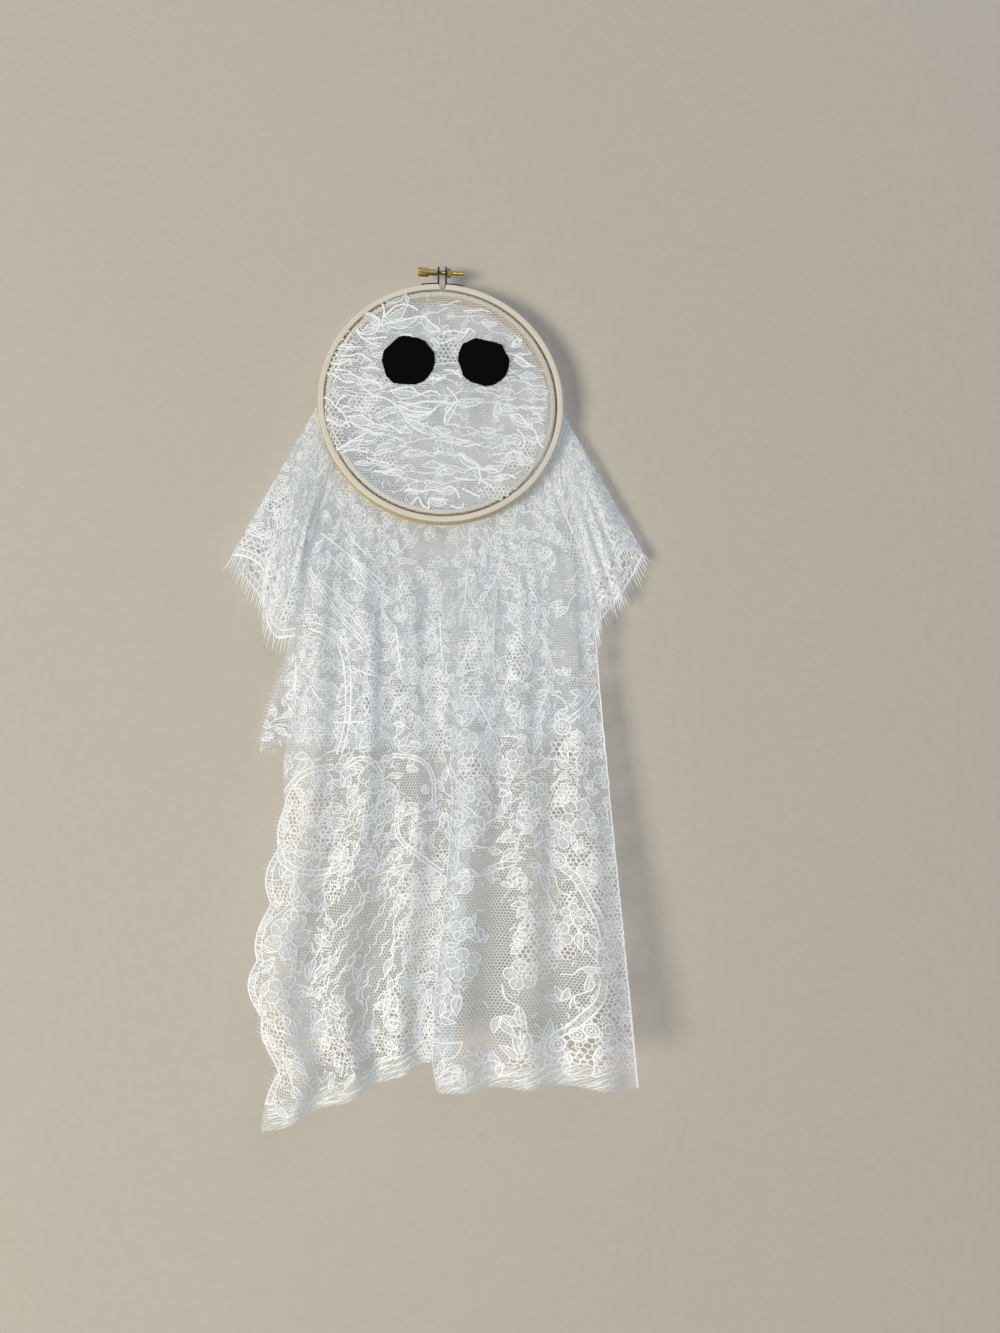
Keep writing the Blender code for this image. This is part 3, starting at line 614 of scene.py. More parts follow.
for x, drop, radius in (
        (-48, 148, 8.5), (-76, 128, 8.0), (-20, 178, 9.0), (50, 140, 8.0), (30, 172, 8.0), (58, 206, 8.5),
        (-44, 214, 9.5), (-84, 214, 9.0), (94, 206, 7.0), (-58, 238, 7.5), (-100, 236, 6.0),
        (16, 222, 7.5), (-4, 118, 6.5), (64, 98, 7.0)):
    flower(skirt, across(x, drop), rng.uniform(0, 360), radius, int(rng.integers(5, 7)))
for x, drop, radius in (
        (74, 296, 4.6), (71, 404, 4.2), (83, 398, 3.8), (90.5, 394.5, 3.8), (78, 213, 5.0), (1, 308, 3.2),
        (-6, 302, 2.6), (-2, 317, 2.6), (-60, 293, 2.4), (-5, 262, 3.0), (-9, 252, 2.6), (96, 300, 3.4),
        (88, 302, 3.0), (101, 312, 3.0)):
    rosette(skirt, across(x, drop), radius)
for x, drop, radius, lobes in (
        (86, 268, 10.5, 5), (60, 256, 9.5, 5), (75, 280, 9.0, 6), (100, 277, 8.5, 5), (-91, 339, 13.0, 5),
        (14, 335, 7.0, 4), (14, 355, 9.5, 5), (-4, 331, 6.5, 6), (-4, 355, 6.5, 5), (-9, 376, 5.5, 5),
        (50, 234, 9.0, 5), (-92, 372, 11.0, 6), (-74, 392, 9.5, 5), (20, 252, 7.5, 5), (30, 228, 8.0, 5),
        (104, 244, 7.5, 5), (108, 350, 6.5, 5), (112, 378, 6.0, 5), (104, 398, 7.0, 5)):
    flower(skirt, across(x, drop), rng.uniform(0, 360), radius, lobes)
for x, drop, degrees, length in (
        (-70, 271, 3, 19), (-67, 260, 28, 13), (-51, 270, -8, 14), (-72, 256, -58, 10),
        (-50, 259, -40, 10), (-80, 268, 100, 12), (-85, 262, 70, 11), (-76, 322, -55, 12),
        (-75, 339, 25, 13), (-80, 310, -20, 12), (48, 282, 170, 13), (50, 294, 172, 12),
        (50, 300, 140, 10), (52, 276, -150, 9), (14, 334, -50, 10), (12, 372, 95, 12), (48, 407, -110, 12),
        (48, 407, -75, 13), (46, 410, -140, 11), (62, 400, -70, 12), (58, 404, -30, 11),
        (52, 214, -95, 13), (52, 214, -55, 14), (52, 214, -135, 12), (30, 300, 70, 10),
        (-88, 318, -75, 12), (-60, 372, 60, 13), (-66, 356, 120, 12), (96, 386, 40, 9), (106, 366, 80, 9)):
    leaf(skirt, across(x, drop), degrees, length, length * 0.42)
for points in ([(-77, 88), (-60, 101), (-39, 118)], [(-62, 84), (-54, 95), (-42, 106)],
               [(-70, 104), (-58, 116), (-44, 126)], [(-74, 122), (-60, 134), (-50, 148)],
               [(-58, 142), (-49, 152), (-44, 166)], [(-72, 92), (-57, 104), (-40, 122)],
               [(-80, 147), (-68, 153), (-59, 165), (-56, 190), (-57, 214), (-61, 230)],
               [(-83, 151), (-70, 157), (-62, 168), (-59, 190), (-60, 213), (-64, 230)]):
    stem(skirt, [across(x, drop) for x, drop in points], 1.0)
for x in range(-74, -16, 7):
    for drop in range(272, 402, 12):
        start = across(x + rng.uniform(-3, 3), drop + rng.uniform(-5, 5))
        run = np.linspace(0, rng.uniform(10, 20), 7)
        stem(skirt, turned(np.stack([run, 1.2 * np.sin(run * 0.7)], -1), start, rng.uniform(-72, -52)), 0.7)
for x, drop, radii, pitch in (
        (103, 322, (12, 24), 2.9), (108, 352, (8, 20), 2.7), (104, 388, (12, 22), 3.1),
        (84, 404, (22, 12), 3.6), (64, 411, (20, 5), 3.6), (94, 296, (15, 12), 3.0),
        (-10, 338, (12, 36), 2.5), (-20, 384, (12, 18), 2.8), (-63, 405, (26, 9), 3.0),
        (-90, 270, (8, 24), 2.8), (-70, 285, (10, 9), 3.2), (-74, 263, (8, 12), 3.2),
        (-12, 312, (14, 12), 2.9), (20, 164, (14, 14), 2.9), (-4, 190, (9, 20), 2.7),
        (84, 226, (14, 10), 3.4), (22, 240, (10, 10), 3.0), (-40, 200, (12, 10), 2.8),
        (88, 94, (9, 12), 3.0), (-97, 395, (8, 22), 3.0), (70, 262, (22, 14), 2.9),
        (-8, 398, (9, 16), 2.8), (60, 344, (14, 22), 2.9), (-4, 216, (7, 20), 2.6),
        (62, 120, (7, 40), 2.9), (-21, 125, (7, 13), 3.0), (4, 120, (6, 18), 2.7),
        (-24, 196, (6, 10), 3.0), (48, 168, (8, 16), 2.9)):
    openwork(skirt, rng, across(x, drop), radii, pitch)
BARE_SKIRT = [(-12, 98, 12, 40), (10, 92, 8, 24), (82, 140, 11, 78), (28, 336, 18, 44), (-48, 346, 20, 46),
              (24, 392, 24, 22), (-13, 248, 9, 12), (66, 372, 20, 20)]


def skirt_spacing(u, v):
    start_drop = -CLOTH_R * math.sin(math.radians(blend(*FRONT_ARC, u / FRONT_WIDTH)))
    hem = read_line(HEM, u / FRONT_WIDTH) - HEM_BAND
    if v > hem or v < start_drop + 2 or 0.47 < u / FRONT_WIDTH < 0.6:
        return 0.0
    bare = inside_any(BARE_SKIRT, in_skirt(u, v), v)
    return (21.0 if bare else 8.8) if v > 235 else (18.0 if bare else 9.6)


def skirt_crumbs(u, v):
    crowd = skirt_spacing(u, v)
    return 0.0 if crowd <= 0 else 0.5 if crowd < 9 else 0.4 if crowd < 10 else 0.03


fill(skirt, rng, (4, 30), (FRONT_WIDTH - 4, 452), skirt_spacing, 12000, (7.5, 12.0))
sprinkle(skirt, rng, (1, 30), (FRONT_WIDTH - 1, 438), 12000, skirt_crumbs)

# The hem is the strip's plain selvedge, with a fuzz of loose threads along it. The left edge is scalloped
# below the tier: two cords with bars between. The fold's bend is a pale line, its net seen edge on.
EDGE_CORDS = (0.6, 4.6)


def upright(design, u, drops, width):
    """A cord straight down the flat lace."""
    add_cord(design, np.stack([np.full(len(drops), u), drops], -1), width)


for u in rng.uniform(1, FRONT_WIDTH - 14, 300):
    low = read_line(HEM, u / FRONT_WIDTH) - rng.uniform(1.0, 12.5)
    run = rng.uniform(4, 11)
    line = np.array([(u, low), (u + run * 0.5, low - run * 0.16), (u + run, low - run * 0.4)])
    add_cord(skirt, line.clip((0, 0), (FRONT_WIDTH, low)), rng.uniform(0.25, 0.45))
for inset, width in zip(EDGE_CORDS, (1.1, 0.7)):
    upright(skirt, inset, np.linspace(262, 436, 90), width)
for drop in np.arange(264, 436, 2.6):
    add_cord(skirt, np.array([(EDGE_CORDS[0], drop), (EDGE_CORDS[1], drop + 0.8)]), 0.4)
upright(skirt, FRONT_WIDTH * blend(*FOLD_SPAN, 5 / 6), np.linspace(215, 426, 80), 0.7)
upright(skirt, FRONT_WIDTH - 0.6, np.linspace(60, 430, 150), 0.8)

# Ornament of the face, the back tier and the sleeves, of the same lace as the skirt's. Pulling the face
# taut drew its cords out sideways. Its stems and leaves are points right of and below the hoop's centre.
FACE_STEMS = [
    [(-54, -56), (-48, -57), (-42, -54), (-41, -49)], [(-56, -46), (-51, -43), (-45, -44), (-41, -49)],
    [(-41, -49), (-38, -59), (-38, -64), (-41, -66)],
    [(-41, -49), (-35, -52), (-26, -53), (-18, -56), (-14, -57), (-8, -52), (-3, -49), (0, -46)],
    [(-39, -55), (-32, -62), (-23, -64), (-16, -61)], [(-56, -45), (-51, -39), (-45, -37), (-41, -35)],
    [(-50, -39), (-43, -41), (-36, -41)], [(-73, -24), (-69, -22), (-63, -24), (-60, -26), (-59, -22)],
    [(-70, -19), (-62, -18), (-57, -16), (-51, -12), (-43, -11), (-37, -7)],
    [(-51, -7), (-43, -2), (-35, 1), (-28, 6), (-24, 12), (-22, 16), (-16, 20), (-11, 23)],
    [(-27, 5), (-18, 8), (-9, 8), (-3, 5)], [(-24, 10), (-16, 11), (-7, 9)],
    [(-34, -5), (-27, -7), (-20, -8), (-15, -4), (-9, -7), (-3, -5), (-1, -3)],
    [(-29, 2), (-20, 2), (-11, 1), (-2, 1), (8, 1)],
    [(-76, 0), (-72, 2), (-69, 6), (-66, 2), (-62, -1)], [(-69, 6), (-64, 10), (-61, 16), (-59, 20)],
    [(-60, 13), (-53, 12), (-49, 14), (-44, 16)],
    [(-75, 14), (-70, 17), (-66, 19), (-60, 16), (-54, 19), (-48, 20), (-42, 23), (-37, 23)],
    [(-44, 16), (-37, 19), (-32, 19), (-26, 23)], [(-67, 35), (-60, 30), (-53, 25), (-48, 22)],
    [(-64, 37), (-59, 35), (-52, 35), (-47, 36)],
    [(11, 35), (16, 38), (22, 41), (27, 45), (33, 44), (37, 47)], [(-2, 42), (2, 45), (3, 48)],
    [(-24, 61), (-18, 59), (-13, 62), (-7, 59), (0, 60), (4, 56), (10, 60), (13, 64)],
    [(8, 52), (16, 53), (22, 52)], [(13, 59), (19, 61), (24, 64)], [(27, 53), (32, 57), (35, 59)],
    [(-20, 70), (-15, 65), (-12, 70), (-8, 71), (-8, 66), (-1, 65), (6, 67)],
    [(6, 70), (12, 71), (15, 68)],
    [(45, 9), (50, 7), (54, 10), (57, 15), (61, 18), (64, 26), (68, 29)],
    [(46, 9), (52, 14), (60, 14)], [(48, -33), (53, -31), (57, -26), (61, -26)],
    [(48, -30), (53, -26), (58, -26)], [(46, -38), (48, -43), (53, -43)], [(61, 6), (64, 7), (66, 11)],
    [(0, -45), (8, -48), (15, -47), (18, -50), (22, -47)], [(-2, -38), (4, -39), (10, -43)],
    [(1, -21), (6, -22), (9, -19), (13, -16)], [(-7, -15), (-2, -14), (3, -17)],
    [(8, 1), (10, -1), (6, -7), (2, -10)], [(2, 14), (4, 9), (10, 0)],
    [(-75, -35), (-68, -35), (-61, -34), (-53, -35)], [(-69, -29), (-61, -28), (-53, -29), (-45, -26)],
    [(-76, -16), (-70, -15), (-63, -10), (-57, -10)], [(-52, -20), (-46, -21), (-41, -19)],
    [(-48, 40), (-41, 41), (-34, 43)], [(-43, 48), (-36, 49), (-29, 46)],
    [(50, 18), (54, 24), (53, 32)], [(41, 36), (47, 32), (53, 34)], [(34, 50), (42, 48), (48, 51)],
    [(25, 45), (26, 51), (24, 55)]]
FACE_LEAVES = [
    ((-41, -49), (-52, -56)), ((-41, -49), (-46, -56)), ((-41, -49), (-53, -43)),
    ((-39, -52), (-23, -64)), ((-37, -51), (-16, -56)), ((-14, -57), (-1, -46)),
    ((-72, -23), (-61, -26)), ((-27, 5), (-5, 6)), ((-33, -5), (-14, -5)), ((-23, 11), (-8, 10)),
    ((-29, 6), (-42, 14)), ((-22, 18), (-27, 23)), ((-43, -10), (-52, -16)), ((26, -54), (37, -54)),
    ((18, -50), (10, -40)), ((10, 0), (28, -2)), ((10, 0), (3, 16)), ((34, 9), (37, -2)),
    ((45, 9), (60, 15)), ((48, -31), (60, -26)), ((46, -38), (53, -43)), ((11, 35), (27, 44)),
    ((-3, 59), (10, 60)), ((-15, 63), (-23, 60)), ((-8, 67), (4, 68)), ((-60, 13), (-44, 16)),
    ((-73, 14), (-60, 17)), ((-66, 34), (-50, 25)), ((-23, -65), (-25, -72)), ((-37, -66), (-24, -72)),
    ((-52, -9), (-66, -15)), ((27, 45), (42, 42)), ((8, -18), (15, -25)), ((-2, -35), (-8, -43)),
    ((-69, -34), (-58, -36))]
mask = new_design()
for points in FACE_STEMS:
    stem(mask, np.array(points) + rng.normal(0, 0.5, (len(points), 2)), 1.15)
for base, tip in FACE_LEAVES:
    way = np.subtract(tip, base)
    length = float(np.hypot(*way))
    leaf(mask, base, math.degrees(math.atan2(way[1], way[0])), length, length * 0.3, cord=0.65)
for x, drop, radii, pitch in (
        (-66, -38, (9, 9), 3.4), (-70, -20, (5, 10), 3.0), (-70, 8, (5, 14), 3.0), (-67, 28, (5, 9), 2.8),
        (4, -36, (9, 12), 3.2), (48, 38, (7, 7), 2.8), (-34, 42, (6, 5), 2.8), (56, 34, (6, 12), 2.8),
        (38, 60, (14, 5), 2.8), (-52, 2, (9, 5), 2.8), (-36, -12, (9, 4), 2.8), (-47, 8, (8, 4), 2.6)):
    openwork(mask, rng, (x, drop), radii, pitch, 0.45)
for spot in rng.uniform(-70, 70, (360, 2)):
    reach, lean = rng.uniform(12, 30), rng.normal(0, 14) + 180 * rng.integers(2)
    if math.hypot(*spot) < 66 and not is_taken(mask, spot, 2.0 if spot[0] < -25 else 4.0):
        run = np.linspace(0, reach, 7)
        line = turned(np.stack([run, rng.normal(0, 1.1, 7)], -1), spot, lean)
        stem(mask, line[np.hypot(*line.T) < 70.5], rng.uniform(0.45, 0.7))
        if rng.random() < 0.35:
            leaf(mask, spot, lean + 180, reach * 0.5, reach * 0.17, False)
sprinkle(mask, rng, (-70, -70), (70, 70), 1200,
         lambda u, v: 0.0 if math.hypot(u, v) > 70 else 0.5 if u < -20 else 0.12)

tier = new_design()
BARE_TIER = [(-14, 45, 7, 34), (25, 10, 8, 30), (-12, 108, 6, 36), (80, 150, 8, 62), (52, -20, 5, 22)]


def tier_spacing(u, v):
    x = back(np.array(u), np.array(v))[0]
    flank = -72 + (abs(x) * 0.5 if x < 0 else abs(x) * 0.58)
    if v < flank or v > 221 or inside_any(BARE_TIER, x, v):
        return 0.0
    return 6.5 if x < -92 else 12.0 if v < 70 else 10.5 if v < 150 else 9.5


fill(tier, rng, (5, -72), (BACK_WIDTH - 5, 222), tier_spacing, 8000, (6.0, 9.5))
sprinkle(tier, rng, (0, -72), (BACK_WIDTH, 222), 6000, lambda u, v: 0.25 if tier_spacing(u, v) > 0 else 0.0)

# Each sleeve has spiral roses in open mesh, and a double cord with bars along its lower edge.
sleeves = []
for place in (left_sleeve, right_sleeve):
    design = new_design()
    fill(design, rng, (4, 14), (108, 100), lambda u, v: 8.5, 2500, (6.0, 9.5))
    sprinkle(design, rng, (2, 8), (110, 112), 1300, lambda u, v: 0.8)
    for u in np.arange(8, 108, 20.0):
        for reach in (6.5, 4.4, 2.3):
            stem(design, turned(circle(reach, 10)[:9] * (1.0, 0.8), (u, 108), u * 7), 0.8)
        openwork(design, rng, (u + 10, 112), (9, 9), 3.6, 0.6)
        openwork(design, rng, (u + 8, 84), (8, 13), 3.3, 0.6)
        openwork(design, rng, (u, 121), (11, 4.5), 3.6, 0.6)
        stem(design, [(u + 4, 92), (u + 9, 100), (u + 10, 110), (u + 8, 122)], 1.0)
    low = np.stack([np.linspace(2, 110, 60), np.full(60, 129.0)], -1)
    for rise, width in ((0, 1.5), (-4.2, 0.9)):
        add_cord(design, low + (0, rise), width)
    for u in np.arange(3, 110, 2.2):
        add_cord(design, np.array([(u, 129.0), (u + 0.6, 124.8)]), 0.5)
    sleeves.append((place, design))


def mottle(tree, shader, scale, detail, dark, light, relief=None, distortion=0.0):
    """Soft clouds of two tones, so many to the metre, and relief given as its strength and depth."""
    place = add_node(tree, "ShaderNodeTexCoord").outputs["Object"]
    cloud = add_node(tree, "ShaderNodeTexNoise", {},
                     {"Vector": place, "Scale": scale, "Detail": detail, "Distortion": distortion})
    colour = add_node(tree, "ShaderNodeMix", {"data_type": "RGBA"},
                      {0: cloud.outputs["Fac"], 6: linear(dark), 7: linear(light)})
    tree.links.new(colour.outputs[2], shader.inputs["Base Color"])
    if relief:
        bump = add_node(tree, "ShaderNodeBump", {},
                        {"Strength": relief[0], "Distance": relief[1], "Height": cloud.outputs["Fac"]})
        tree.links.new(bump.outputs[0], shader.inputs["Normal"])
    return cloud.outputs["Fac"]


def make_thread_cloth(name, base, shade, roughness, clear=None):
    """White polyester thread: clear white with the faint grey of its twist, which is drawn 1.1 mm long
    because the real 0.3 mm would not show. Cloth work is a half-open weave of it, its threads drawn
    1.5 mm apart and not the real 0.4 mm, so that the eye still sees them."""
    material, tree, shader = start_material(name, roughness)
    mottle(tree, shader, 900.0, 3.0, shade, base, (0.35, 0.0003))
    if clear:
        flat = add_node(tree, "ShaderNodeUVMap", {"uv_map": "flat"}).outputs["UV"]
        slant = add_node(tree, "ShaderNodeMapping", {}, {"Vector": flat, "Rotation": (0.0, 0.0, 0.5),
                                                         "Scale": (0.66, 0.16, 1.0)})
        threads = add_node(tree, "ShaderNodeTexNoise", {}, {"Vector": slant.outputs[0], "Scale": 1.0,
                                                            "Detail": 2.0})
        shut = add_node(tree, "ShaderNodeMapRange", {}, {"Value": threads.outputs["Fac"], "From Min": 0.35,
                                                         "From Max": 0.65, "To Min": clear[0],
                                                         "To Max": clear[1]})
        tree.links.new(shut.outputs[0], shader.inputs["Alpha"])
    shader.inputs["Sheen Weight"].default_value = 0.1
    return material


def make_net():
    """Bobbin net: twisted white threads round six-sided holes, a pale haze through which the wall shows.
    Its holes are drawn 1.9 mm apart, because the real 0.8 mm would not show. The selvedge is a close
    weave with slanting stripes."""
    material, tree, shader = start_material("bobbin_net", 0.8)
    vector, number = "ShaderNodeVectorMath", "ShaderNodeMath"
    flat = add_node(tree, "ShaderNodeUVMap", {"uv_map": "flat"}).outputs["UV"]
    wobble = add_node(tree, "ShaderNodeTexNoise", {}, {"Vector": flat, "Scale": 0.12, "Detail": 1.0})
    drift = add_node(tree, vector, {"operation": "MULTIPLY"},
                     {0: wobble.outputs["Color"], 1: (1.6, 1.6, 0.0)})
    drawn = add_node(tree, vector, {"operation": "ADD"}, {0: flat, 1: drift.outputs[0]}).outputs[0]
    cells = add_node(tree, vector, {"operation": "MULTIPLY"},
                     {0: drawn, 1: (1 / NET_PITCH, 1 / NET_PITCH, 0.0)}).outputs[0]
    size = (1.0, math.sqrt(3), 1.0)
    spots, lengths = [], []
    for shift in ((0.0, 0.0, 0.0), (0.5, math.sqrt(3) / 2, 0.5)):
        chain = [cells]
        for operation, value in (
                ("SUBTRACT", shift), ("DIVIDE", size), ("FRACTION", size), ("SUBTRACT", (0.5, 0.5, 0.5)),
                ("MULTIPLY", size), ("MULTIPLY", (1.0, 1.0, 0.0))):
            step = add_node(tree, vector, {"operation": operation}, {0: chain[-1], 1: value})
            chain.append(step.outputs[0])
        reach = add_node(tree, vector, {"operation": "LENGTH"}, {0: chain[-1]})
        spots.append(chain[-2])
        lengths.append(reach.outputs["Value"])
    nearer = add_node(tree, number, {"operation": "LESS_THAN"}, {0: lengths[1], 1: lengths[0]})
    chosen = add_node(tree, "ShaderNodeMix", {"data_type": "VECTOR"},
                      {0: nearer.outputs[0], 4: spots[0], 5: spots[1]})
    quarter = add_node(tree, vector, {"operation": "ABSOLUTE"}, {0: chosen.outputs[1]})
    spot = add_node(tree, "ShaderNodeSeparateXYZ", {}, {0: quarter.outputs[0]})
    half = add_node(tree, number, {"operation": "MULTIPLY"}, {0: spot.outputs["X"], 1: 0.5})
    slope = add_node(tree, number, {"operation": "MULTIPLY_ADD"},
                     {0: spot.outputs["Y"], 1: math.sqrt(3) / 2, 2: half.outputs[0]})
    to_edge = add_node(tree, number, {"operation": "MAXIMUM"}, {0: spot.outputs["X"], 1: slope.outputs[0]})
    thread = add_node(tree, "ShaderNodeMapRange", {},
                      {"Value": to_edge.outputs[0], "From Min": 0.5 - NET_THREAD,
                       "From Max": 0.5 - NET_THREAD * 0.7})
    hole = add_node(tree, "ShaderNodeAttribute", {"attribute_name": "openwork"}).outputs["Fac"]
    there = add_node(tree, number, {"operation": "SUBTRACT"}, {0: 1.0, 1: hole})
    kept = add_node(tree, number, {"operation": "MULTIPLY"}, {0: thread.outputs[0], 1: there.outputs[0]})
    split = add_node(tree, "ShaderNodeSeparateXYZ", {}, {0: drawn})
    slant = add_node(tree, number, {"operation": "MULTIPLY_ADD"},
                     {0: split.outputs["Y"], 1: 1.7, 2: split.outputs["X"]})
    turns = add_node(tree, number, {"operation": "MULTIPLY"}, {0: slant.outputs[0], 1: 1.9})
    stripe = add_node(tree, number, {"operation": "SINE"}, {0: turns.outputs[0]})
    dense = add_node(tree, "ShaderNodeMapRange", {},
                     {"Value": stripe.outputs[0], "From Min": -1.0, "From Max": 1.0, "To Min": 0.16,
                      "To Max": 0.66})
    selvedge = add_node(tree, "ShaderNodeAttribute", {"attribute_name": "selvedge"}).outputs["Fac"]
    alpha = add_node(tree, "ShaderNodeMix", {"data_type": "FLOAT"},
                     {0: selvedge, 2: kept.outputs[0], 3: dense.outputs[0]})
    tree.links.new(alpha.outputs[0], shader.inputs["Alpha"])
    twist = add_node(tree, "ShaderNodeTexNoise", {}, {"Vector": drawn, "Scale": 1.1, "Detail": 2.0})
    colour = add_node(tree, "ShaderNodeMix", {"data_type": "RGBA"},
                      {0: twist.outputs["Fac"], 6: linear("#cfd8de"), 7: linear("#e6ecf0")})
    tree.links.new(colour.outputs[2], shader.inputs["Base Color"])
    return material


NET_PITCH = 1.9
NET_THREAD = 0.105
# Cloth work and cords lie off the net, each at its own height, as faces in one plane shade each other.
PETAL_LIFT = (0.1, 0.3)
CORD_LIFT = (0.4, 0.7)
net_material = make_net()
petal_material = make_thread_cloth("lace_cloth_work", "#e6edf1", "#ccd6dc", 0.8, (0.22, 0.66))
cord_material = make_thread_cloth("lace_cord", "#fbfdfd", "#e4ebef", 0.6)


def grid_faces(columns, rows, first):
    i, j = np.meshgrid(np.arange(columns - 1), np.arange(rows - 1), indexing="ij")
    a = (first + i * rows + j).ravel()
    return np.stack([a, a + 1, a + rows + 1, a + rows], -1)


def hole_share(design, u, v):
    """How far each flat place lies inside a patch of openwork, from 0 to 1."""
    share = np.zeros(u.shape)
    for a, b, ru, rv in design["holes"]:
        share = np.maximum(share, 1 - ease(0.75, 1.05, np.hypot((u - a) / ru, (v - b) / rv)))
    return share


def make_lace_net():
    """The whole sheet of net: a grid for each place it hangs in, its openwork and selvedge marked."""
    points, faces, uv, openings, selvedge = [], [], [], [], []
    count = 0
    for place, columns, rows, design in (
            (front, 236, 176, skirt), (back, 120, 96, tier), (left_sleeve, 56, 60, sleeves[0][1]),
            (right_sleeve, 56, 60, sleeves[1][1]), (face, 241, 26, mask)):
        s, t = np.meshgrid(np.linspace(0, 1, columns), np.linspace(0, 1, rows), indexing="ij")
        edge = np.zeros(s.shape)
        if place is front:
            start = -CLOTH_R * np.sin(np.radians(blend(*FRONT_ARC, s)))
            u, v = s * FRONT_WIDTH, blend(start, read_line(HEM, s), t)
            edge = ease(HEM_BAND + 0.5, HEM_BAND - 1.5, read_line(HEM, s) - v)
        elif place is back:
            start = -CLOTH_R * np.sin(np.radians(blend(*BACK_ARC, 1 - s)))
            arches = np.abs(np.sin(TIER_ARCHES * math.pi * s))
            u, v = s * BACK_WIDTH, blend(start, TIER_DROP - TIER_ARCH * arches, t)
        elif place is face:
            reach = t * (FACE_R + 2 * CLOTH_OFFSET)
            u, v = reach * np.cos(2 * math.pi * s), reach * np.sin(2 * math.pi * s)
        else:
            u, v = s * SLEEVE_SIZE[0], t * SLEEVE_SIZE[1]
        points.append(place(u, v).reshape(-1, 3))
        uv.append(np.stack([u.ravel(), v.ravel()], -1))
        openings.append(hole_share(design, u, v).ravel())
        selvedge.append(edge.ravel())
        faces.append(grid_faces(columns, rows, count))
        count += columns * rows
    return make_mesh("lace_net", np.concatenate(points), np.concatenate(faces).tolist(), net_material,
                     np.concatenate(uv), {"openwork": np.concatenate(openings),
                                          "selvedge": np.concatenate(selvedge)})


def lifted(place, flat, lift):
    """Flat places on the hung cloth, each raised by its own lift off the outer side."""
    u, v = flat[:, 0], flat[:, 1]
    along_u = place(u + 0.5, v) - place(u - 0.5, v)
    along_v = place(u, v + 0.5) - place(u, v - 0.5)
    normal = np.cross(along_v, along_u)
    normal /= np.maximum(np.linalg.norm(normal, axis=1), 1e-9)[:, None]
    if np.mean(normal[:, 1]) > 0:
        normal = -normal
    return place(u, v) + normal * np.asarray(lift)[:, None]


thread_rng = np.random.default_rng(23)


def lay_petals(name, layers):
    """The cloth work of some designs as one piece, laid on the hung cloth."""
    points, faces, uv, count = [], [], [], 0
    for place, design in layers:
        flat = np.concatenate([p for p, _ in design["petals"]])
        lifts = []
        for p, made in design["petals"]:
            faces += [[count + k for k in f] for f in made]
            count += len(p)
            lifts += [thread_rng.uniform(*PETAL_LIFT)] * len(p)
        points.append(lifted(place, flat, lifts))
        uv.append(flat)
    return make_mesh(name, np.concatenate(points), faces, petal_material, np.concatenate(uv))


def lay_cords(name, layers):
    """The cords of some designs as one piece: flat ribbons that wander a little, on the hung cloth."""
    points, faces, uv, count = [], [], [], 0
    for place, design in layers:
        rows, across_uv, lifts = [], [], []
        for line, width, closed in design["cords"]:
            line = line + thread_rng.normal(0, 0.1 if len(line) > 2 else 0.0, line.shape)
            line = np.concatenate([line, line[:1]]) if closed else line
            way = np.gradient(line, axis=0)
            if closed:
                way[0] = way[-1] = line[1] - line[-2]
            normal = np.stack([-way[:, 1], way[:, 0]], -1)
            normal /= np.maximum(np.hypot(*way.T), 1e-9)[:, None]
            n = len(line)
            rows.append(np.concatenate([line + normal * width / 2, line - normal * width / 2]))
            run = np.concatenate([[0], np.cumsum(np.hypot(*np.diff(line, axis=0).T))])
            across_uv.append(np.stack([np.tile(run, 2), np.repeat([0.0, 1.0], n)], -1))
            faces += [(count + k, count + k + 1, count + n + k + 1, count + n + k) for k in range(n - 1)]
            count += 2 * n
            lifts += [thread_rng.uniform(*CORD_LIFT)] * (2 * n)
        points.append(lifted(place, np.concatenate(rows), lifts))
        uv += across_uv
    return make_mesh(name, np.concatenate(points), faces, cord_material, np.concatenate(uv))


lace_net = make_lace_net()
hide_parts("lace_face", "lace_band", "lace_skirt", "lace_back_tier")
ornament = [lay_petals("skirt_cloth_work", [(front, skirt)]), lay_cords("skirt_cords", [(front, skirt)]),
            lay_petals("tier_cloth_work", [(back, tier)]), lay_cords("tier_cords", [(back, tier)]),
            lay_petals("face_cloth_work", [(face, mask)]), lay_cords("face_cords", [(face, mask)]),
            lay_petals("sleeve_cloth_work", sleeves), lay_cords("sleeve_cords", sleeves)]

# Eyelash fringe: cut ends of thread left standing along the sleeves' lower edges, and short ones at the
# cut side edges. Each bends a little, strays from its neighbours and has its own length.
LASH_BEND = (0.0005, 0.0003, 0.0)
LASH_STRAY = 0.13
LASH_SCALES = (0.75, 1.2)


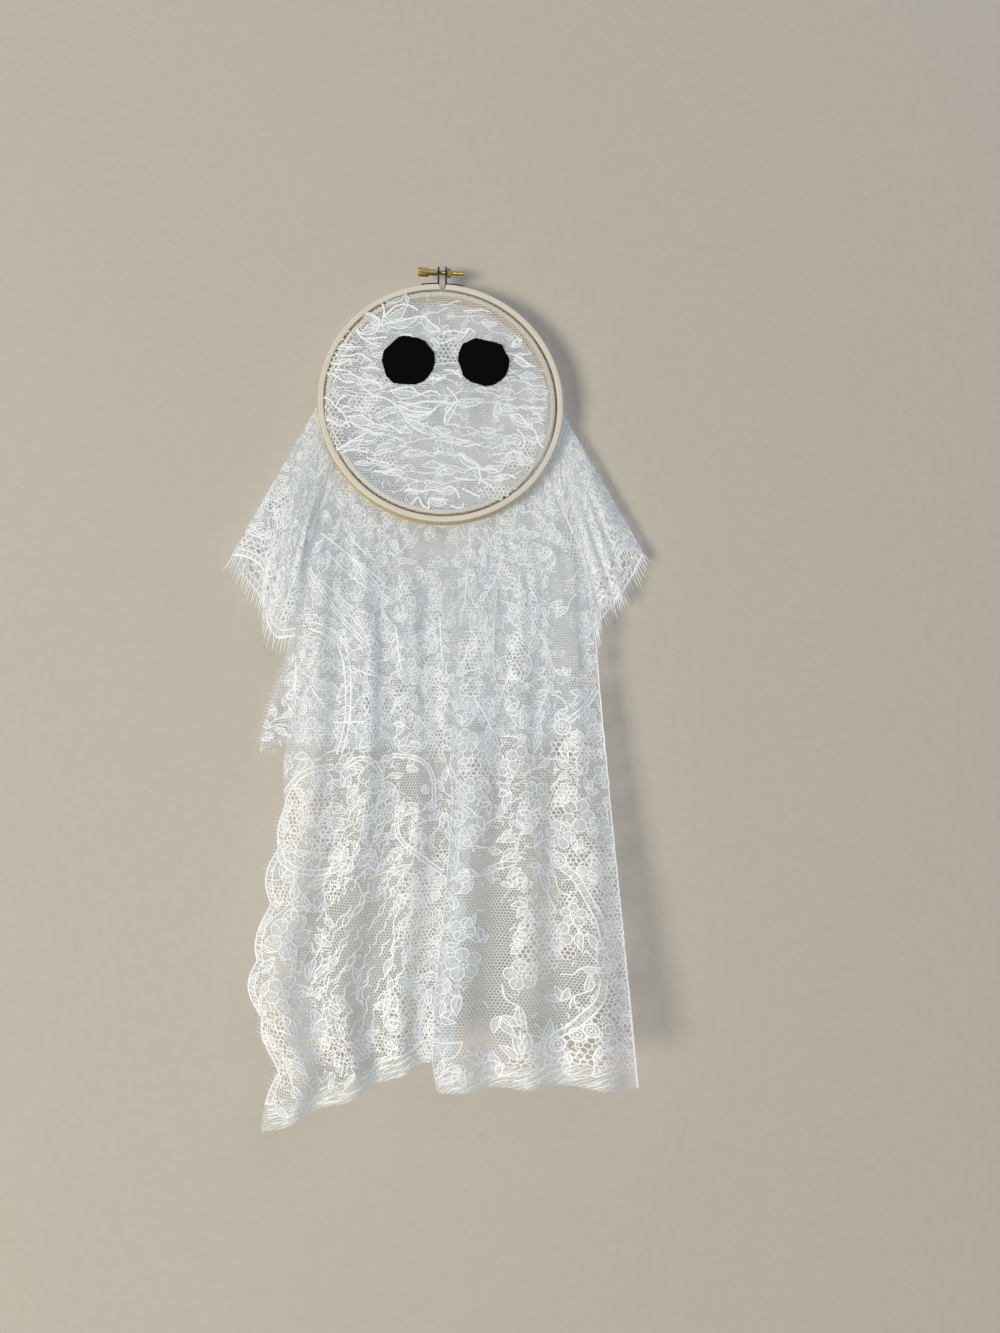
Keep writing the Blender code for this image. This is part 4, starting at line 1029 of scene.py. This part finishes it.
def lash_tree(material):
    """Eyelash fringe: fine curved threads stood along a path, each the way the path's arrows point."""
    tree = bpy.data.node_groups.new("eyelash_fringe", "GeometryNodeTree")
    sockets = tree.interface
    sockets.new_socket("Path", in_out="INPUT", socket_type="NodeSocketGeometry")
    for name, kind in (("Spacing", "Float"), ("Length", "Float"), ("Thickness", "Float"), ("Seed", "Int")):
        sockets.new_socket(name, in_out="INPUT", socket_type="NodeSocket" + kind)
    sockets.new_socket("Fringe", in_out="OUTPUT", socket_type="NodeSocketGeometry")
    given = add_node(tree, "NodeGroupInput").outputs
    path = add_node(tree, "GeometryNodeMeshToCurve", {}, {0: given["Path"]})
    spots = add_node(tree, "GeometryNodeResampleCurve", {"mode": "LENGTH"},
                     {"Curve": path.outputs[0], "Length": given["Spacing"]})
    tip = add_node(tree, "ShaderNodeCombineXYZ", {}, {"Z": given["Length"]})
    belly = add_node(tree, "ShaderNodeVectorMath", {"operation": "MULTIPLY"},
                     {0: tip.outputs[0], 1: (0.5, 0.5, 0.5)})
    bent = add_node(tree, "ShaderNodeVectorMath", {"operation": "ADD"},
                    {0: belly.outputs[0], 1: LASH_BEND})
    line = add_node(tree, "GeometryNodeCurveQuadraticBezier", {},
                    {"Resolution": 4, "Start": (0.0, 0.0, 0.0), "Middle": bent.outputs[0],
                     "End": tip.outputs[0]})
    way = add_node(tree, "GeometryNodeSplineParameter")
    taper = add_node(tree, "ShaderNodeMapRange", {}, {"Value": way.outputs["Factor"], "To Min": 1.0,
                                                      "To Max": 0.35})
    thin = add_node(tree, "GeometryNodeSetCurveRadius", {},
                    {"Curve": line.outputs[0], "Radius": taper.outputs[0]})
    section = add_node(tree, "GeometryNodeCurvePrimitiveCircle", {},
                       {"Resolution": 4, "Radius": given["Thickness"]})
    lash = add_node(tree, "GeometryNodeCurveToMesh", {},
                    {"Curve": thin.outputs[0], "Profile Curve": section.outputs[0],
                     "Scale": taper.outputs[0], "Fill Caps": True})
    arrow = add_node(tree, "GeometryNodeInputNamedAttribute", {"data_type": "FLOAT_VECTOR"}, {"Name": "out"})
    stray = add_node(tree, "FunctionNodeRandomValue", {"data_type": "FLOAT_VECTOR"},
                     {0: (-LASH_STRAY,) * 3, 1: (LASH_STRAY,) * 3, "Seed": given["Seed"]})
    aim = add_node(tree, "ShaderNodeVectorMath", {"operation": "ADD"},
                   {0: arrow.outputs["Attribute"], 1: stray.outputs[0]})
    turn = add_node(tree, "FunctionNodeAlignRotationToVector", {"axis": "Z"}, {"Vector": aim.outputs[0]})
    sizes = add_node(tree, "FunctionNodeRandomValue", {"data_type": "FLOAT"},
                     {2: LASH_SCALES[0], 3: LASH_SCALES[1], "Seed": given["Seed"]})
    stood = add_node(tree, "GeometryNodeInstanceOnPoints", {},
                     {"Points": spots.outputs[0], "Instance": lash.outputs[0], "Rotation": turn.outputs[0],
                      "Scale": sizes.outputs[1]})
    real = add_node(tree, "GeometryNodeRealizeInstances", {}, {0: stood.outputs[0]})
    dressed = add_node(tree, "GeometryNodeSetMaterial", {},
                       {"Geometry": real.outputs[0], "Material": material})
    add_node(tree, "NodeGroupOutput", {}, {0: dressed.outputs[0]})
    return tree


def grow(name, tree, paths, sizes):
    """Runs the fringe's tree on its paths and keeps the result as a plain mesh."""
    points = np.concatenate([p for p, _ in paths])
    edges, first = [], 0
    for p, _ in paths:
        edges += [(first + k, first + k + 1) for k in range(len(p) - 1)]
        first += len(p)
    source = make_mesh(name + "_path", points, [], cord_material,
                       attributes={"out": np.concatenate([out for _, out in paths])}, edges=edges)
    modifier = source.modifiers.new("fringe", "NODES")
    modifier.node_group = tree
    sockets = {s.name: s.identifier for s in tree.interface.items_tree if s.in_out == "INPUT"}
    for key, value in sizes.items():
        modifier[sockets[key]] = value
    source.update_tag()
    made = bpy.data.meshes.new_from_object(source.evaluated_get(bpy.context.evaluated_depsgraph_get()))
    made.name = name
    bpy.data.objects.remove(source, do_unlink=True)
    piece = bpy.data.objects.new(name, made)
    bpy.context.scene.collection.objects.link(piece)
    return piece


def edge_path(place, u, v, inset):
    """Points along an edge at flat places u, v, and the way out of the cloth, away from the inset."""
    flat = np.stack(np.broadcast_arrays(np.asarray(u, float), np.asarray(v, float)), -1)
    points = place(*flat.T)
    out = points - place(*(flat - inset).T)
    return points, out / np.linalg.norm(out, axis=1)[:, None]


fringe = lash_tree(cord_material)
paths = [edge_path(place, np.linspace(3, 109, 90), 129.3, (0, 3)) for place, _ in sleeves]
ornament.append(grow("sleeve_eyelashes", fringe, paths,
                     {"Spacing": 0.0022, "Length": 0.0092, "Thickness": 0.0004, "Seed": 5}))
paths = [edge_path(front, 0.3, np.linspace(384, 428, 40), (-3, -1)),
         edge_path(front, 0.3, np.linspace(264, 300, 40), (-3, 0)),
         edge_path(back, 0.3, np.linspace(158, 222, 40), (-3, 0)),
         edge_path(back, np.linspace(2, 60, 40), TIER_DROP - 2.5, (0, 3))]
ornament.append(grow("edge_eyelashes", fringe, paths,
                     {"Spacing": 0.0024, "Length": 0.0034, "Thickness": 0.00018, "Seed": 8}))
for piece in (lace_net, *ornament):
    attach(piece, "hoop")

# Outer ring of the hoop: a second bamboo strip, split at the top and closed over the lace.
# Its two ends carry the clamp, and it is planed and sanded like the inner ring.
OUTER_RING = (76.4, 80.4)
SPLIT_INSIDE = 3.0
SPLIT_OUTSIDE = 5.4


def half_gap(radius):
    share = (radius - OUTER_RING[0]) / (OUTER_RING[1] - OUTER_RING[0])
    return (SPLIT_INSIDE + (SPLIT_OUTSIDE - SPLIT_INSIDE) * share) / 2


outer_ring = make_ring("outer_ring_wood", OUTER_RING, bamboo, half_gap)
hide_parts("outer_ring")
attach(outer_ring, "hoop")


# Clamp brackets and rivets: bent steel strip and small rivets, blackened by a chemical finish.
# Each bracket's foot is riveted to the outer ring and its ear holds the screw. The CAD nodes stay.
def make_metal(name, dark, light, metallic, roughness, scale):
    """A metal whose tone and gloss vary in soft clouds, as a finish or handling leaves them."""
    material, tree, shader = start_material(name, roughness)
    cloud = mottle(tree, shader, scale, 4.0, dark, light)
    dull = add_node(tree, "ShaderNodeMapRange", {},
                    {"Value": cloud, "To Min": roughness - 0.1, "To Max": roughness + 0.15})
    tree.links.new(dull.outputs[0], shader.inputs["Roughness"])
    shader.inputs["Metallic"].default_value = metallic
    return material


# Blackened steel: near black with a brown cast and a low gloss, in clouds about 1.4 mm across.
steel = make_metal("blackened_steel", "#141416", "#35332f", 0.85, 0.42, 700.0)
for name in ("left_clamp_bracket", "right_clamp_bracket", "left_bracket_rivet", "right_bracket_rivet"):
    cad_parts[name].data.materials.clear()
    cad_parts[name].data.materials.append(steel)

# Thumbscrew and nut: both turned from brass bar, the head knurled, the shank threaded. The screw turns
# in the brackets' ears and draws the ends of the split ring together at the nut, which is a CAD node.
# Its real pitch is 0.5 mm, and 0.7 mm is drawn so that the turns show.
SCREW_AXIS = 1.35
SHANK_R = 1.35
HEAD_R = 2.9
COLLAR_R = 1.95
HEAD_SPAN = (-16.1, -8.9)
COLLAR_END = -3.4
SHANK_END = 14.3
THREAD_PITCH = 0.7
THREAD_DEPTH = 0.14
KNURL_DEPTH = 0.25
KNURLS = 16
CHAMFER = 0.4
SHOULDER = 0.001
# Turned brass: satin yellow, dulled in clouds about 2 mm across where it was handled.
brass = make_metal("turned_brass", "#7d7038", "#b6a362", 1.0, 0.34, 500.0)


def screw_radius(x, angle):
    """The turned form: chamfered knurled head, plain collar, threaded shank."""
    if x < HEAD_SPAN[1]:
        chamfer = min(x - HEAD_SPAN[0], HEAD_SPAN[1] - x, CHAMFER)
        tooth = abs((angle * KNURLS / (2 * math.pi)) % 1 - 0.5) * 2
        return HEAD_R - CHAMFER + chamfer - KNURL_DEPTH * (1 - tooth) * min(chamfer / CHAMFER, 1.0)
    if x < COLLAR_END:
        return COLLAR_R
    ridge = abs((x / THREAD_PITCH - angle / (2 * math.pi)) % 1 - 0.5) * 2
    return min(SHANK_R - THREAD_DEPTH * (1 - ridge), SHANK_R - CHAMFER + (SHANK_END - x))


def make_screw():
    """The screw as one closed turned mesh, its axis along X."""
    stations = [HEAD_SPAN[0], HEAD_SPAN[0] + CHAMFER / 2, HEAD_SPAN[0] + CHAMFER,
                HEAD_SPAN[1] - CHAMFER, HEAD_SPAN[1] - CHAMFER / 2, HEAD_SPAN[1] - SHOULDER,
                HEAD_SPAN[1], COLLAR_END - SHOULDER, COLLAR_END]
    stations += list(np.arange(COLLAR_END + 0.1, SHANK_END, 0.12)) + [SHANK_END]
    count = 64
    points, faces = [], []
    for x in stations:
        for k in range(count):
            angle = 2 * math.pi * k / count
            r = screw_radius(x, angle)
            points.append((x, r * math.cos(angle), r * math.sin(angle) + SCREW_AXIS - HOOP_CENTRE[2]))
    for i in range(len(stations) - 1):
        for k in range(count):
            a, b = i * count + k, i * count + (k + 1) % count
            faces.append((a, b, b + count, a + count))
    faces.append(tuple(range(count - 1, -1, -1)))
    faces.append(tuple(range((len(stations) - 1) * count, len(stations) * count)))
    made = make_mesh("brass_thumbscrew", points, faces, brass)
    made.data.set_sharp_from_angle(angle=math.radians(30))
    return made


screw = make_screw()
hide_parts("thumbscrew")
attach(screw, "screw")
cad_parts["clamp_nut"].data.materials.clear()
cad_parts["clamp_nut"].data.materials.append(brass)

# Eyes: two discs cut by hand from black craft felt and glued to the lace. Their outlines are the
# uneven cuts that scissors leave, nearly straight for some millimetres at a time.
EYE_THICKNESS = 1.2
EYE_BACK = -6.3
EYES = {"left_eye": ((-21.6, 26.4), [(-3.5, 16.3), (5.7, 15.0), (10.6, 12.9), (13.3, 9.2), (16.5, 5.4),
                                     (16.8, -0.5), (15.4, -5.9), (12.7, -10.2), (9.5, -14.0), (4.1, -16.1),
                                     (-3.4, -16.2), (-9.9, -15.6), (-14.8, -10.8), (-17.5, -0.5),
                                     (-16.1, 5.9), (-7.2, 15.1)]),
        "right_eye": ((27.6, 26.6), [(-5.7, 16.3), (6.2, 14.1), (11.8, 12.4), (13.8, 8.0), (16.6, 2.5),
                                     (16.1, -2.5), (14.6, -7.7), (11.4, -11.2), (6.2, -15.0), (0.4, -15.9),
                                     (-8.8, -13.2), (-13.5, -9.7), (-17.0, 1.0), (-16.7, 5.7),
                                     (-14.1, 12.0)])}


def make_felt():
    """Pressed craft felt: matted black fibres, quite without gloss. Its tufts are drawn 0.7 mm across,
    coarser than the fibres, so that they show."""
    material, tree, shader = start_material("black_felt", 0.95)
    mottle(tree, shader, 1400.0, 5.0, "#020203", "#0b0c0e", (0.6, 0.0003), 1.5)
    shader.inputs["Specular IOR Level"].default_value = 0.05
    return material


felt = make_felt()
fuzz_rng = np.random.default_rng(3)
for name, (centre, outline) in EYES.items():
    corners = np.array(outline + outline[:1], float)
    edge = np.concatenate([np.linspace(a, b, max(int(np.hypot(*(b - a)) / 0.8), 2), endpoint=False)
                           for a, b in zip(corners, corners[1:])])
    edge += fuzz_rng.normal(0, 0.09, edge.shape)
    count = len(edge)
    levels = [(1.0, 0.0), (1.012, 0.35), (1.012, 0.8), (0.99, 1.12), (0.95, 1.2), (0.7, 1.24), (0.4, 1.22)]
    crown = max(rise for _, rise in levels)
    points = []
    for scale, rise in levels:
        ring = edge * scale
        height = EYE_BACK - rise * EYE_THICKNESS / crown + fuzz_rng.normal(0, 0.03, count) * (rise > 0)
        points.append(np.stack([centre[0] + ring[:, 0], height, centre[1] + ring[:, 1]], -1))
    faces = []
    for i in range(len(levels) - 1):
        for k in range(count):
            a, b = i * count + k, i * count + (k + 1) % count
            faces.append((b, a, a + count, b + count))
    faces.append(tuple(range(count)))
    faces.append(tuple(range(len(levels) * count - 1, (len(levels) - 1) * count - 1, -1)))
    eye = make_mesh("felt_" + name, np.concatenate(points), faces, felt)
    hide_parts(name)
    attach(eye, "hoop")

# Backdrop, lamps and camera: a plain pale wall just behind, and soft light from the left.
# The wall is clear from behind and to lamplight, so that the back can be seen and lit as well.
WALL_Y = 0.017
WALL_HALF = 3.0
MIDDLE = (0.0, 0.0, -0.27)
# Matt emulsion paint on plaster: a warm pale grey with a faint grain, about 4.5 mm across.
wall_material, tree, shader = start_material("painted_plaster", 0.9)
mottle(tree, shader, 220.0, 3.0, "#b6b0a5", "#beb9ae", (0.12, 0.0005))
side = add_node(tree, "ShaderNodeNewGeometry").outputs["Backfacing"]
clear = add_node(tree, "ShaderNodeBsdfTransparent")
passing = add_node(tree, "ShaderNodeLightPath").outputs["Is Shadow Ray"]
open_to = add_node(tree, "ShaderNodeMath", {"operation": "MAXIMUM"}, {0: side, 1: passing})
facing = add_node(tree, "ShaderNodeMixShader", {}, {0: open_to.outputs[0], 1: shader.outputs[0],
                                                    2: clear.outputs[0]})
tree.links.new(facing.outputs[0], tree.nodes["Material Output"].inputs["Surface"])
wall_mesh = bpy.data.meshes.new("wall")
corners = [(x * WALL_HALF, WALL_Y, z * WALL_HALF) for x, z in ((-1, -1), (1, -1), (1, 1), (-1, 1))]
wall_mesh.from_pydata(corners, [], [(0, 1, 2, 3)])
wall_mesh.materials.append(wall_material)
wall = bpy.data.objects.new("wall", wall_mesh)
bpy.context.scene.collection.objects.link(wall)
wall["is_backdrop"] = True


def add_lamp(name, place, target, size, power, colour):
    """A square soft lamp at a place, turned to its target."""
    lamp = bpy.data.lights.new(name, "AREA")
    lamp.size = size
    lamp.energy = power
    lamp.color = linear(colour)[:3]
    holder = bpy.data.objects.new(name, lamp)
    holder.location = place
    way = np.array(target) - np.array(place)
    holder.rotation_euler = (math.atan2(math.hypot(way[0], way[1]), -way[2]), 0.0,
                             math.atan2(way[1], way[0]) - math.pi / 2)
    bpy.context.scene.collection.objects.link(holder)


add_lamp("key", (-2.0, -2.4, -1.1), MIDDLE, 0.9, 80.0, "#fff4e2")
add_lamp("fill", (0.6, -2.2, 1.1), MIDDLE, 1.8, 18.0, "#e6eeff")
add_lamp("back", (0.9, 2.4, 0.5), MIDDLE, 1.6, 70.0, "#f4f4ff")
# The world lights evenly all round; what the camera and shiny metal see of it is a plain pale grey.
world = bpy.data.worlds.new("studio")
world.use_nodes = True
tree = world.node_tree
tree.nodes["Background"].inputs["Color"].default_value = linear("#e4e9f0")
tree.nodes["Background"].inputs["Strength"].default_value = 0.34
seen = add_node(tree, "ShaderNodeBackground", {}, {"Color": linear("#cfcbc4"), "Strength": 1.0})
path = add_node(tree, "ShaderNodeLightPath")
direct = add_node(tree, "ShaderNodeMath", {"operation": "MAXIMUM"},
                  {0: path.outputs["Is Camera Ray"], 1: path.outputs["Is Glossy Ray"]})
direct = add_node(tree, "ShaderNodeMath", {"operation": "MAXIMUM"},
                  {0: direct.outputs[0], 1: path.outputs["Is Transmission Ray"]})
shown = add_node(tree, "ShaderNodeMixShader", {},
                 {0: direct.outputs[0], 1: tree.nodes["Background"].outputs[0], 2: seen.outputs[0]})
tree.links.new(shown.outputs[0], tree.nodes["World Output"].inputs["Surface"])
bpy.context.scene.world = world
bpy.context.scene.view_settings.view_transform = "Standard"

# The camera stands 0.64 m in front, level with the skirt, and looks a little up and to the right.
camera = bpy.data.cameras.new("camera")
camera.lens = 27.03
camera.sensor_width = 36.0
holder = bpy.data.objects.new("camera", camera)
holder.location = (-0.020, -0.641, -0.32555)
holder.rotation_euler = (math.radians(95.5822), 0.0, math.radians(-5.2359))
bpy.context.scene.collection.objects.link(holder)
bpy.context.scene.camera = holder

low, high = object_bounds()
